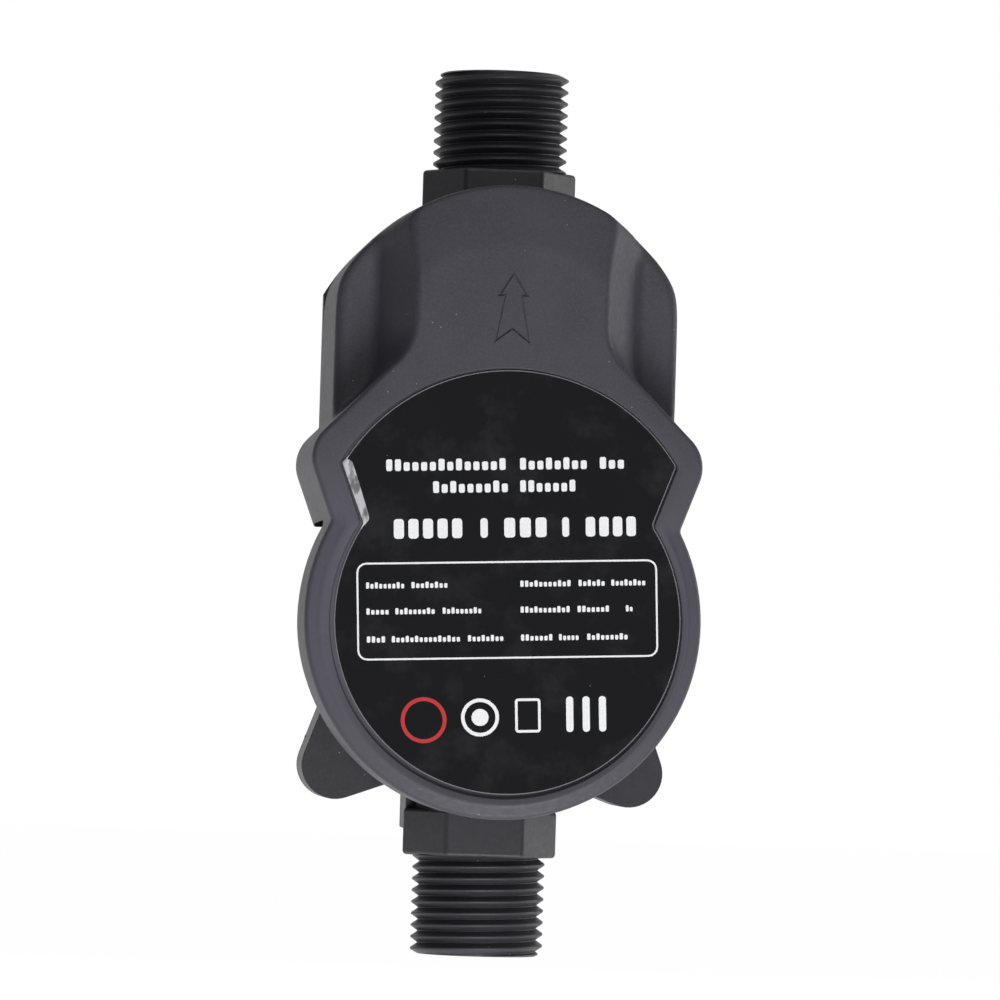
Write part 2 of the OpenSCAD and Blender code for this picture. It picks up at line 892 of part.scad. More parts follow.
module impeller() {
    color([0.86, 0.86, 0.83])
        difference() {
            union() {
                on_axis(hub_core_r, hub_front_y, magnet_back_y);
                on_axis(magnet_r, magnet_back_y, magnet_back_y + magnet_rest);
                on_axis(hub_r, hub_front_y, hub_back_y);
                on_axis(impeller_r, passage_front_y - impeller_disc_t, passage_front_y);
                translate([0, passage_front_y, rotor_z])
                    rotate([-90, 0, 0])
                        for (i = [0:vane_count - 1])
                            rotate([0, 0, i * 360 / vane_count])
                                vane();
            }
            on_axis(bearing_r, hub_front_y - cut, hub_back_y + cut);
        }
}

module impeller_shroud() {
    shroud_y = passage_front_y + vane_h;
    color([0.86, 0.86, 0.83])
        difference() {
            union() {
                on_axis(impeller_r, shroud_y, shroud_y + shroud_t);
                on_axis(neck_ring_r, shroud_y, chamber_back + neck_reach);
            }
            on_axis(eye_inner_r, shroud_y - cut, chamber_back + neck_reach + cut);
        }
}

// The stator: a yoke with teeth, insulators on both faces and a coil round each tooth
tooth_count = 6;
yoke_w = 4;
tooth_w = 6;
tooth_tip_w = 9.6;
tip_t = 1.6;
stator_gap = 0.4;
insulator_t = 0.8;
coil_w = 2.4;
coil_gap = 0.1;
stator_inner_r = can_r + stator_gap;
tip_r = stator_inner_r + tip_t;
coil_from_r = tip_r + insulator_t + coil_gap;
coil_to_r = stator_r - yoke_w - insulator_t - coil_gap;

// Repeats a piece at each tooth, whose own frame has the tooth along X
module each_tooth() {
    for (i = [0:tooth_count - 1])
        translate([0, 0, rotor_z])
            rotate([0, i * 360 / tooth_count + 180 / tooth_count, 0])
                children();
}

module stator_core() {
    color([0.55, 0.56, 0.58])
        slab(stack_front_y, stack_back_y)
            translate([0, rotor_z])
                difference() {
                    union() {
                        difference() {
                            circle(stator_r);
                            circle(stator_r - yoke_w);
                        }
                        for (i = [0:tooth_count - 1])
                            rotate(i * 360 / tooth_count + 180 / tooth_count) {
                                translate([0, -tooth_w / 2])
                                    square([stator_r - yoke_w / 2, tooth_w]);
                                intersection() {
                                    circle(tip_r);
                                    translate([0, -tooth_tip_w / 2])
                                        square([tip_r + cut, tooth_tip_w]);
                                }
                            }
                    }
                    circle(stator_inner_r);
                }
}

// A frame round a tooth between two distances from the motor axis
module tooth_frame(from_r, to_r, inner, wall) {
    difference() {
        block([from_r, stack_front_y - inner - wall, -tooth_w / 2 - inner - wall],
            [to_r, stack_back_y + inner + wall, tooth_w / 2 + inner + wall]);
        block([from_r - cut, stack_front_y - inner, -tooth_w / 2 - inner],
            [to_r + cut, stack_back_y + inner, tooth_w / 2 + inner]);
    }
}

module stator_insulators() {
    sleeve_half = tooth_w / 2 + coil_gap + insulator_t / 2;
    sleeve_to_r = sqrt((stator_r - yoke_w) ^ 2 - sleeve_half ^ 2) - coil_gap;
    color([0.9, 0.88, 0.8])
        each_tooth() {
            tooth_frame(tip_r + coil_gap, sleeve_to_r, coil_gap, insulator_t / 2);
            tooth_frame(tip_r + coil_gap, tip_r + insulator_t, coil_gap, coil_over - coil_gap);
        }
}

module windings() {
    reach = insulator_t / 2 + 2 * coil_gap;
    color([0.72, 0.4, 0.2])
        each_tooth()
            tooth_frame(coil_from_r, coil_to_r, reach, coil_over - reach);
}

// Electronics in the hood
cap_r = 4;
cap_h = 9;
parts_rise = 10;
cap_x = -6.2;
cap_place = [cap_x, board_low_z + parts_rise];
choke_r = 4.4;
choke_hole_r = 1.9;
choke_h = 6.5;
choke_x = 6;
choke_place = [choke_x, board_low_z + parts_rise];
fet_w = 5;
fet_h = 6;
fet_t = 1.8;
fet_count = 6;
fet_step = 6.2;
fet_tab_h = 1.05;
chip_w = 7;
chip_t = 1;
plug_w = 8;
plug_h = 5;
plug_t = 5.5;
plug_x = 5.2;
leg_t = 0.35;

module control_board() {
    color([0.12, 0.34, 0.2])
        difference() {
            block([-board_half, board_front_y, board_low_z], [board_half, board_back_y, board_high_z]);
            for (place = board_places)
                rod(place, board_screw_r + pass_gap, board_front_y - cut, board_back_y + cut);
        }
}

module board_screws() {
    color([0.7, 0.7, 0.72])
        for (place = board_places) {
            rod(place, board_screw_head_r, board_back_y, board_back_y + board_screw_head_h);
            rod(place, board_screw_r, board_back_y - board_screw_len, board_back_y + board_screw_head_h / 2);
        }
}

module capacitor() {
    color([0.2, 0.24, 0.35])
        rod(cap_place, cap_r, board_front_y - cap_h, board_front_y);
}

module choke() {
    color([0.66, 0.38, 0.2])
        difference() {
            rod(choke_place, choke_r, board_front_y - choke_h, board_front_y);
            rod(choke_place, choke_hole_r, board_front_y - choke_h - cut, board_front_y + cut);
        }
}

// The power transistors in a row behind the board, each body with its tab
module power_transistors() {
    color([0.16, 0.16, 0.17])
        for (i = [0:fet_count - 1])
            translate([(i - (fet_count - 1) / 2) * fet_step, board_back_y, board_low_z + board_edge]) {
                block([-fet_w / 2, 0, 0], [fet_w / 2, fet_t, fet_h]);
                block([-fet_w / 2 + leg_t, 0, 0], [fet_w / 2 - leg_t, leg_t, fet_h + fet_tab_h]);
            }
}

module controller_chip() {
    chip_z = board_high_z - board_edge - chip_w;
    color([0.1, 0.1, 0.11])
        block([-chip_w / 2, board_back_y, chip_z], [chip_w / 2, board_back_y + chip_t, chip_z + chip_w]);
}

// The motor's and the supply's plug sockets at the board's lower edge
module wire_connectors() {
    color([0.9, 0.88, 0.8])
        for (side = [-1, 1])
            translate([side * plug_x, board_front_y, board_low_z])
                difference() {
                    block([-plug_w / 2, -plug_t, 0], [plug_w / 2, 0, plug_h]);
                    block([-plug_w / 2 + leg_t * 2, -plug_t - cut, leg_t * 2],
                        [plug_w / 2 - leg_t * 2, -plug_t / 3, plug_h - leg_t * 2]);
                }
}

// The flow switch: a float with a magnet, its stop, and the reed sensor in front of the pipe
sensor_t = 1;
reed_r = 1.1;
reed_len = 12;
flute_r = 1.7;
flute_count = 4;
pocket_r = 3.2;
pocket_depth = 8;
stop_t = 2.6;
stop_ring = 1.3;
stop_bar = 1.4;
stop_z = seat_z + float_len + float_lift + seat_gap;

module sensor_board() {
    color([0.12, 0.34, 0.2])
        block([-pad_half, pad_y - sensor_t, pad_low_z], [pad_half, pad_y, pad_high_z]);
}

module reed_switch() {
    reed_z = (pad_low_z + pad_high_z - reed_len) / 2;
    color([0.6, 0.8, 0.65])
        translate([0, pad_y - sensor_t - reed_r, reed_z])
            cylinder(r = reed_r, h = reed_len);
}

module flow_float() {
    color([0.9, 0.9, 0.88])
        translate([0, 0, seat_z])
            difference() {
                cylinder(r = float_r, h = float_len);
                for (i = [0:flute_count - 1])
                    rotate([0, 0, i * 360 / flute_count])
                        translate([float_r, 0, -cut])
                            cylinder(r = flute_r, h = float_len + 2 * cut);
                translate([0, 0, float_len - pocket_depth])
                    cylinder(r = pocket_r, h = pocket_depth + cut);
            }
}

module float_magnet() {
    color([0.7, 0.7, 0.72])
        translate([0, 0, seat_z + float_len - pocket_depth])
            cylinder(r = pocket_r - bite_gap, h = pocket_depth - stop_bar / 2);
}

module float_stop() {
    color([0.85, 0.85, 0.82])
        translate([0, 0, stop_z]) {
            difference() {
                cylinder(r = port_bore_r - bite_gap, h = stop_t);
                translate([0, 0, -cut])
                    cylinder(r = port_bore_r - stop_ring, h = stop_t + 2 * cut);
            }
            intersection() {
                cylinder(r = port_bore_r - stop_ring / 2, h = stop_t);
                union() {
                    block([-port_bore_r, -stop_bar / 2, 0], [port_bore_r, stop_bar / 2, stop_t]);
                    block([-stop_bar / 2, -port_bore_r, 0], [stop_bar / 2, port_bore_r, stop_t]);
                }
            }
        }
}

// The gland where the supply lead enters at the back
gland_bore_r = 2.6;
gland_flange_r = 6;
gland_flange_t = 2.4;
gland_nose_r = 4.6;
gland_nose_len = 7;
gland_catch_r = 4.8;
gland_catch_t = 2;
gland_gap = 0.1;

module cable_gland() {
    back = plate_back_y + gland_flange_t + gland_nose_len;
    color([0.07, 0.07, 0.07])
        difference() {
            union() {
                rod(gland_place, gland_hole_r - gland_gap, seam_y - gland_catch_t, plate_back_y + cut);
                rod(gland_place, gland_catch_r, seam_y - gland_catch_t, seam_y);
                rod(gland_place, gland_flange_r, plate_back_y, plate_back_y + gland_flange_t);
                rod(gland_place, gland_nose_r, plate_back_y, back);
            }
            rod(gland_place, gland_bore_r, seam_y - gland_catch_t - cut, back + cut);
        }
}

front_cover();
label_plate();
pump_body();
rear_cover();
long_screws();
short_screws();
cover_seal();
isolating_can();
can_seal();
can_screws();
shaft();
thrust_washers();
front_bearing();
rear_bearing();
rotor_magnet();
impeller();
impeller_shroud();
stator_core();
stator_insulators();
windings();
control_board();
board_screws();
capacitor();
choke();
power_transistors();
controller_chip();
wire_connectors();
sensor_board();
reed_switch();
flow_float();
float_magnet();
float_stop();
cable_gland();
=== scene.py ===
"""Shower pump: a grained charcoal cover, cut pipe threads, a gloss label and the parts inside.

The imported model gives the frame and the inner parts. New pieces are shaped in millimetres and
are turned into metres when they are finished.
"""

import json
import logging
import math
from dataclasses import dataclass, field
from enum import Enum, IntEnum
from typing import Callable, Iterable, Mapping, Sequence

import bmesh
import bpy
from mathutils import Matrix, Quaternion, Vector

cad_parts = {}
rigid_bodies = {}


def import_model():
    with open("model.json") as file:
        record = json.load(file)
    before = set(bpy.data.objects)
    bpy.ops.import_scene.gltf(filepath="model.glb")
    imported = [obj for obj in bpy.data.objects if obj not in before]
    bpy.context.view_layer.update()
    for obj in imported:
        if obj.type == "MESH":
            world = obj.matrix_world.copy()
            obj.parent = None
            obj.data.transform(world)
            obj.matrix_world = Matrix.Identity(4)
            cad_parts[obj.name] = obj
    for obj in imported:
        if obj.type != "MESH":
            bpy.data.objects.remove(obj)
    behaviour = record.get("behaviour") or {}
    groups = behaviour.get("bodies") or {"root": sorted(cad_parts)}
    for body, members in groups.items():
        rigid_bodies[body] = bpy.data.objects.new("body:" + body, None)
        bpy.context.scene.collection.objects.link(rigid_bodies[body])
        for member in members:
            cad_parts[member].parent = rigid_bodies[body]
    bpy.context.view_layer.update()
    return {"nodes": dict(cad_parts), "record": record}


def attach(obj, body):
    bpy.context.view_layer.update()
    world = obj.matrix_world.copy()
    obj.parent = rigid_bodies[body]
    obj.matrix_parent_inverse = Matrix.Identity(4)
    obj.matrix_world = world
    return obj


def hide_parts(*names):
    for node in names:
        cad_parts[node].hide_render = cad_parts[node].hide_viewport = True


log = logging.getLogger("shower_pump")

Colour = tuple[float, float, float]
Point = tuple[float, float, float]
Flat = tuple[float, float]

MM = 0.001
WHITE = (1.0, 1.0, 1.0)
TOUCH = 0.001
TINY = 1e-6
HEX_TURN = math.radians(30.0)
ROUND_STEPS = 72
HALVINGS = 30
KNEE_END = 50


# Shader maths


class Signal:
    """An output socket that can be used in a Python expression."""

    def __init__(self, graph: "Graph", socket: bpy.types.NodeSocket) -> None:
        """Wraps a socket of a graph."""
        self.graph = graph
        self.socket = socket

    def _math(self, operation: str, *terms: "float | Signal", clamp: bool = False) -> "Signal":
        """Adds one Math node and returns its value.

        Args:
            operation: the Math node's operation.
            terms: its inputs in their order.
            clamp: whether the result is held between 0 and 1.

        Returns:
            The node's value.
        """
        return self.graph.node(
            "ShaderNodeMath", {"operation": operation, "use_clamp": clamp}, dict(enumerate(terms))
        )

    def __add__(self, other: "float | Signal") -> "Signal":
        """The sum."""
        return self._math("ADD", self, other)

    def __radd__(self, other: float) -> "Signal":
        """The sum, number first."""
        return self._math("ADD", other, self)

    def __sub__(self, other: "float | Signal") -> "Signal":
        """The difference."""
        return self._math("SUBTRACT", self, other)

    def __rsub__(self, other: float) -> "Signal":
        """The difference, number first."""
        return self._math("SUBTRACT", other, self)

    def __mul__(self, other: "float | Signal") -> "Signal":
        """The product."""
        return self._math("MULTIPLY", self, other)

    def __rmul__(self, other: float) -> "Signal":
        """The product, number first."""
        return self._math("MULTIPLY", other, self)

    def above(self, level: float) -> "Signal":
        """1 where the value is above the level, 0 elsewhere."""
        return self._math("GREATER_THAN", self, level)

    def at_least(self, other: "float | Signal") -> "Signal":
        """The larger of the two values."""
        return self._math("MAXIMUM", self, other)

    def clipped(self) -> "Signal":
        """The value held between 0 and 1."""
        return self._math("ADD", self, 0.0, clamp=True)

    def wave(self) -> "Signal":
        """The sine of the value."""
        return self._math("SINE", self)

    def size(self) -> "Signal":
        """The value without its sign."""
        return self._math("ABSOLUTE", self)


class Graph:
    """A node tree with one output node, of a material or of the world."""

    def __init__(self, tree: bpy.types.NodeTree, ending: str) -> None:
        """Empties the tree and adds its output.

        Args:
            tree: the node tree.
            ending: the type of its output node.
        """
        self.tree = tree
        self.tree.nodes.clear()
        self.output = self.tree.nodes.new(ending)

    def node(
        self,
        kind: str,
        settings: Mapping[str, object] | None = None,
        values: Mapping[int | str, object] | None = None,
        out: int | str = 0,
    ) -> Signal:
        """Adds a node, sets it up and links it.

        Args:
            kind: the node's type.
            settings: the node's own properties, set first.
            values: what each input takes, a number, a tuple or a Signal.
            out: the output that is returned.

        Returns:
            The chosen output.
        """
        made = self.tree.nodes.new(kind)
        for key, setting in (settings or {}).items():
            setattr(made, key, setting)
        for key, value in (values or {}).items():
            self.feed(made.inputs[key], value)
        return Signal(self, made.outputs[out])

    def feed(self, socket: bpy.types.NodeSocket, value: object) -> None:
        """Links a Signal to a socket, or sets the socket's own value.

        Args:
            socket: the input.
            value: a Signal, or what the input itself takes; a colour may lack its alpha.
        """
        if isinstance(value, Signal):
            self.tree.links.new(value.socket, socket)
        elif isinstance(value, tuple) and len(value) == 3 and socket.type == "RGBA":
            socket.default_value = (*value, 1.0)
        else:
            socket.default_value = value

    def axis(self, index: int, space: str = "Object") -> Signal:
        """One coordinate.

        Args:
            index: 0 for x, 1 for y and 2 for z.
            space: the coordinates' name; Object coordinates are in metres.

        Returns:
            The coordinate.
        """
        spot = self.node("ShaderNodeTexCoord", out=space)
        return self.node("ShaderNodeSeparateXYZ", {}, {0: spot}, out=index)

    def span(self, value: Signal, low: float, high: float, to_low: float, to_high: float) -> Signal:
        """A value carried from one span to another and held there.

        Args:
            value: the value.
            low: where its span starts.
            high: where its span ends.
            to_low: what it is at the start.
            to_high: what it is at the end.

        Returns:
            The new value.
        """
        return self.node("ShaderNodeMapRange", {}, {0: value, 1: low, 2: high, 3: to_low, 4: to_high})


class Surface(Graph):
    """The node tree of one material, with a Principled shader at its end."""

    def __init__(self, name: str) -> None:
        """Starts a material.

        Args:
            name: the material's name.
        """
        self.material = bpy.data.materials.new(name)
        self.material.use_nodes = True
        super().__init__(self.material.node_tree, "ShaderNodeOutputMaterial")
        self.shader = self.tree.nodes.new("ShaderNodeBsdfPrincipled")
        self.feed(self.output.inputs["Surface"], Signal(self, self.shader.outputs[0]))

    def place(self, stretch: Point = (1.0, 1.0, 1.0)) -> Signal:
        """Object coordinates in metres, stretched."""
        spot = self.node("ShaderNodeTexCoord", out="Object")
        return self.node("ShaderNodeMapping", {}, {"Vector": spot, "Scale": stretch})

    def noise(
        self, grain: float, detail: float = 2.0, where: Signal | None = None, rough: float = 0.5
    ) -> Signal:
        """Noise between 0 and 1.

        Args:
            grain: the patches' width in metres.
            detail: how many finer layers lie over them.
            where: the place it is read at, if not plain Object coordinates.
            rough: how strong the finer layers are.

        Returns:
            The noise.
        """
        return self.node(
            "ShaderNodeTexNoise",
            {},
            {"Vector": where or self.place(), "Scale": 1.0 / grain, "Detail": detail, "Roughness": rough},
        )

    def cells(self, grain: float) -> Signal:
        """The distance to the middle of cells about grain metres wide."""
        return self.node("ShaderNodeTexVoronoi", {}, {"Vector": self.place(), "Scale": 1.0 / grain})

    def mix(self, share: "float | Signal", first: "Colour | Signal", second: "Colour | Signal") -> Signal:
        """A colour between two colours."""
        return self.node("ShaderNodeMix", {"data_type": "RGBA"}, {0: share, 6: first, 7: second}, out=2)

    def bump(self, height: Signal, depth: float) -> Signal:
        """A normal bent by a height of 0 to 1 that stands for depth metres."""
        return self.node("ShaderNodeBump", {}, {"Height": height, "Distance": depth})

    def finish(self, **sockets: object) -> bpy.types.Material:
        """Feeds the Principled shader's sockets by name, spaces written as underscores.

        Args:
            sockets: a value or link for each socket.

        Returns:
            The finished material.
        """
        for key, value in sockets.items():
            self.feed(self.shader.inputs[key.replace("_", " ").title().replace("Ior", "IOR")], value)
        return self.material


# Finishes, with every length in metres


@dataclass(frozen=True)
class Finish:
    """A named finish of one main colour."""

    name: str
    colour: Colour

    def shade(self, level: float) -> Colour:
        """The main colour made lighter or darker."""
        return tuple(level * part for part in self.colour)

    def material(self) -> bpy.types.Material:
        """Builds the finish's material."""
        raise NotImplementedError


@dataclass(frozen=True)
class GrainedPlastic(Finish):
    """Moulded plastic with an eroded grain, faint clouding, a band of painted light and a little white dust.
    """

    roughness: float = 0.56
    grain: float = 0.00028
    grain_depth: float = 0.000016
    dust: float = 0.5
    clouding: float = 0.14
    painted_light_strength: float = 0.0
    painted_light_foot: Flat = (0.026, 0.044)
    painted_light_top: Flat = (0.078, 0.094)
    painted_light_side: float = 0.03
    cloud: float = 0.011
    speck: float = 0.0011
    dusty_patch: float = 0.0031
    sheen_patch: float = 0.0009
    dust_colour: Colour = (0.55, 0.55, 0.56)

    def _painted_light_share(self, g: Surface, cloud: Signal) -> Signal:
        """How far painted light makes the plastic paler, in a band over the lower motor drum that is
        stronger on the left.

        Args:
            g: the surface that is being built.
            cloud: noise that frays the band's upper end.

        Returns:
            A share from 0 to 1.
        """
        below = g.span(g.axis(2) + cloud * 0.02, *self.painted_light_top, 1.0, 0.0)
        over = g.span(g.axis(2), *self.painted_light_foot, 0.25, 1.0)
        return below * over * g.span(g.axis(0), -self.painted_light_side, self.painted_light_side, self.painted_light_strength, self.painted_light_strength * 0.7)

    def material(self) -> bpy.types.Material:
        """Builds the finish.

        Returns:
            Its material.
        """
        g = Surface(self.name)
        cloud = g.noise(self.cloud, 3.0)
        darker, paler = self.shade(1.0 - self.clouding), self.shade(1.0 + self.clouding)
        even = g.mix(g.span(cloud, 0.3, 0.7, 0.0, 1.0), darker, paler)
        # Painted light: a band over the lower drum, stronger on the left, is mixed towards twice the colour.
        base = g.mix(self._painted_light_share(g, cloud), even, self.shade(2.0))
        fine = g.noise(self.grain)
        pores = g.span(g.cells(self.grain * 1.9), 0.0, 0.75, 0.0, 1.0)
        worn = g.mix(g.span(fine, 0.38, 0.72, 0.0, 0.65), base, self.shade(1.6))
        specks = (1.0 - g.cells(self.speck).above(0.075)) * g.noise(self.dusty_patch, 1.0).above(0.64)
        sheen = g.noise(self.sheen_patch)
        return g.finish(
            base_color=g.mix(specks * self.dust, worn, self.dust_colour),
            roughness=g.span(sheen, 0.3, 0.7, self.roughness - 0.05, self.roughness + 0.05),
            normal=g.bump(fine * 0.6 + pores * 0.4, self.grain_depth),
        )


@dataclass(frozen=True)
class GlossFilm(Finish):
    """Gloss film: near black, with slow ripples, a grey haze and faint handling marks."""

    roughness: float = 0.09
    smear: float = 0.006
    smear_stretch: Point = (1.0, 1.0, 0.35)
    speck: float = 0.0016
    dusty_patch: float = 0.005
    haze: float = 0.009
    ripple: float = 0.009
    ripple_depth: float = 0.00002
    dust_colour: Colour = (0.4, 0.4, 0.4)

    def material(self) -> bpy.types.Material:
        """Builds the finish.

        Returns:
            Its material.
        """
        g = Surface(self.name)
        smear = g.noise(self.smear, 4.0, g.place(self.smear_stretch))
        specks = (1.0 - g.cells(self.speck).above(0.05)) * g.noise(self.dusty_patch, 1.0).above(0.62)
        haze = g.span(g.noise(self.haze, 5.0, rough=0.65), 0.52, 0.68, 0.0, 0.6)
        film = g.mix(haze, self.colour, self.shade(3.0))
        return g.finish(
            base_color=g.mix(specks * 0.35, film, self.dust_colour),
            roughness=g.span(smear, 0.35, 0.7, self.roughness, self.roughness + 0.07),
            normal=g.bump(g.noise(self.ripple, 1.0), self.ripple_depth),
        )


@dataclass(frozen=True)
class Print(Finish):
    """Screen-printed ink with thin spots at its edges."""

    roughness: float = 0.42
    thin_spot: float = 0.0003
    tooth: float = 0.0002
    tooth_depth: float = 0.000004

    def material(self) -> bpy.types.Material:
        """Builds the finish.

        Returns:
            Its material.
        """
        g = Surface(self.name)
        thin = g.span(g.noise(self.thin_spot, 3.0), 0.3, 0.75, 0.0, 1.0)
        return g.finish(
            base_color=g.mix(thin, self.colour, self.shade(0.86)),
            roughness=self.roughness,
            normal=g.bump(g.noise(self.tooth), self.tooth_depth),
        )


@dataclass(frozen=True)
class Metal(Finish):
    """Metal with fine scratches along one direction."""

    roughness: float = 0.32
    stretch: Point = (1.0, 1.0, 12.0)
    scratch: float = 0.0004
    scratch_depth: float = 0.000006
    stain: float = 0.004

    def material(self) -> bpy.types.Material:
        """Builds the finish.

        Returns:
            Its material.
        """
        g = Surface(self.name)
        lines = g.noise(self.scratch, 3.0, g.place(self.stretch))
        stained = g.span(g.noise(self.stain, 4.0), 0.4, 0.75, 0.0, 1.0)
        return g.finish(
            base_color=g.mix(stained, self.colour, self.shade(0.8)),
            metallic=1.0,
            roughness=g.span(lines, 0.25, 0.75, self.roughness - 0.08, self.roughness + 0.12),
            normal=g.bump(lines, self.scratch_depth),
        )


@dataclass(frozen=True)
class Foil(Finish):
    """The crinkled silver-grey back of a film."""

    roughness: float = 0.4
    metallic: float = 0.3
    crinkle: float = 0.0011
    crinkle_stretch: Point = (1.0, 1.0, 0.5)
    crinkle_depth: float = 0.0002

    def material(self) -> bpy.types.Material:
        """Builds the finish.

        Returns:
            Its material.
        """
        g = Surface(self.name)
        fold = g.noise(self.crinkle, 3.0, g.place(self.crinkle_stretch))
        return g.finish(
            # Painted shade: the low parts of the crinkle are made darker.
            base_color=g.mix(g.span(fold, 0.38, 0.52, 0.0, 1.0), self.shade(0.3), self.colour),
            metallic=self.metallic,
            roughness=self.roughness,
            normal=g.bump(fold, self.crinkle_depth),
        )


@dataclass(frozen=True)
class StackedSheets(Finish):
    """A core of thin sheets, seen as fine lines across its stack."""

    roughness: float = 0.42
    metallic: float = 0.85
    sheet: float = 0.0005
    groove_depth: float = 0.00003
    rust_patch: float = 0.0018
    rust_colour: Colour = (0.22, 0.12, 0.07)

    def material(self) -> bpy.types.Material:
        """Builds the finish.

        Returns:
            Its material.
        """
        g = Surface(self.name)
        line = (g.axis(1) * (2.0 * math.pi / self.sheet)).wave()
        rust = g.span(g.noise(self.rust_patch, 4.0), 0.55, 0.8, 0.0, 0.5)
        base = g.mix(rust, self.colour, self.rust_colour)
        return g.finish(
            base_color=g.mix(g.span(line, -1.0, -0.2, 0.7, 0.0), base, self.shade(0.35)),
            metallic=self.metallic,
            roughness=self.roughness,
            normal=g.bump(line, self.groove_depth),
        )


@dataclass(frozen=True)
class WoundWire(Finish):
    """Enamelled wire laid turn beside turn."""

    roughness: float = 0.3
    metallic: float = 0.75
    enamel: float = 0.5
    wire: float = 0.00042
    groove_depth: float = 0.00012
    patch: float = 0.0012

    def material(self) -> bpy.types.Material:
        """Builds the finish.

        Returns:
            Its material.
        """
        g = Surface(self.name)
        turn = (g.axis(1) * (math.pi / self.wire)).wave().size()
        base = g.mix(g.span(g.noise(self.patch, 3.0), 0.3, 0.7, 0.0, 1.0), self.colour, self.shade(0.7))
        return g.finish(
            # Painted shade: the grooves between the turns are made dark.
            base_color=g.mix(g.span(turn, 0.0, 0.35, 0.8, 0.0), base, self.shade(0.15)),
            metallic=self.metallic,
            roughness=self.roughness,
            normal=g.bump(turn, self.groove_depth),
            coat_weight=self.enamel,
        )


@dataclass(frozen=True)
class SolderMask(Finish):
    """A green circuit board with paler tracks under its mask and bare pads."""

    track_pitch: float = 0.0021
    track_turn: float = 900.0
    kink: float = 0.004
    pad: float = 0.0032
    sheen_patch: float = 0.0006
    relief: float = 0.00003
    tin_colour: Colour = (0.6, 0.6, 0.58)

    def material(self) -> bpy.types.Material:
        """Builds the finish.

        Returns:
            Its material.
        """
        g = Surface(self.name)
        across = (g.axis(0) * (2.0 * math.pi / self.track_pitch)).wave()
        along = (g.axis(2) * self.track_turn).wave()
        routed = g.span(across * along + g.noise(self.kink, 1.0), 0.75, 0.8, 0.0, 1.0)
        pads = 1.0 - g.cells(self.pad).above(0.14)
        return g.finish(
            base_color=g.mix(pads, g.mix(routed, self.colour, self.shade(1.9)), self.tin_colour),
            metallic=pads * 0.9,
            roughness=g.span(g.noise(self.sheen_patch), 0.3, 0.7, 0.25, 0.4),
            normal=g.bump(routed + pads, self.relief),
        )


@dataclass(frozen=True)
class Pressed(Finish):
    """A pressed or sintered part, such as ferrite, carbon, ceramic or rubber, with fine pits."""

    roughness: float = 0.5
    pit: float = 0.0004
    metallic: float = 0.0
    pit_depth: float = 0.00002
    patch: float = 0.003
    sheen_patch: float = 0.0007

    def material(self) -> bpy.types.Material:
        """Builds the finish.

        Returns:
            Its material.
        """
        g = Surface(self.name)
        pits = g.cells(self.pit)
        base = g.mix(g.span(g.noise(self.patch, 4.0), 0.3, 0.7, 0.0, 1.0), self.shade(0.9), self.shade(1.08))
        sheen = g.noise(self.sheen_patch)
        return g.finish(
            # Painted shade: the pits are made darker towards their middles.
            base_color=g.mix(g.span(pits, 0.0, 0.25, 0.5, 0.0), base, self.shade(0.6)),
            metallic=self.metallic,
            roughness=g.span(sheen, 0.3, 0.7, self.roughness - 0.08, self.roughness + 0.08),
            normal=g.bump(pits, self.pit_depth),
        )


@dataclass(frozen=True)
class ClearGlass(Finish):
    """A clear tube with a faint green cast and drawn streaks."""

    clearness: float = 0.85
    refraction: float = 1.47
    streak: float = 0.0008
    streak_stretch: Point = (1.0, 1.0, 0.1)
    streak_depth: float = 0.00001

    def material(self) -> bpy.types.Material:
        """Builds the finish.

        Returns:
            Its material.
        """
        g = Surface(self.name)
        streak = g.noise(self.streak, 2.0, g.place(self.streak_stretch))
        return g.finish(
            base_color=g.mix(streak, self.colour, self.shade(0.85)),
            roughness=g.span(streak, 0.3, 0.7, 0.04, 0.12),
            transmission_weight=self.clearness,
            ior=self.refraction,
            normal=g.bump(streak, self.streak_depth),
        )


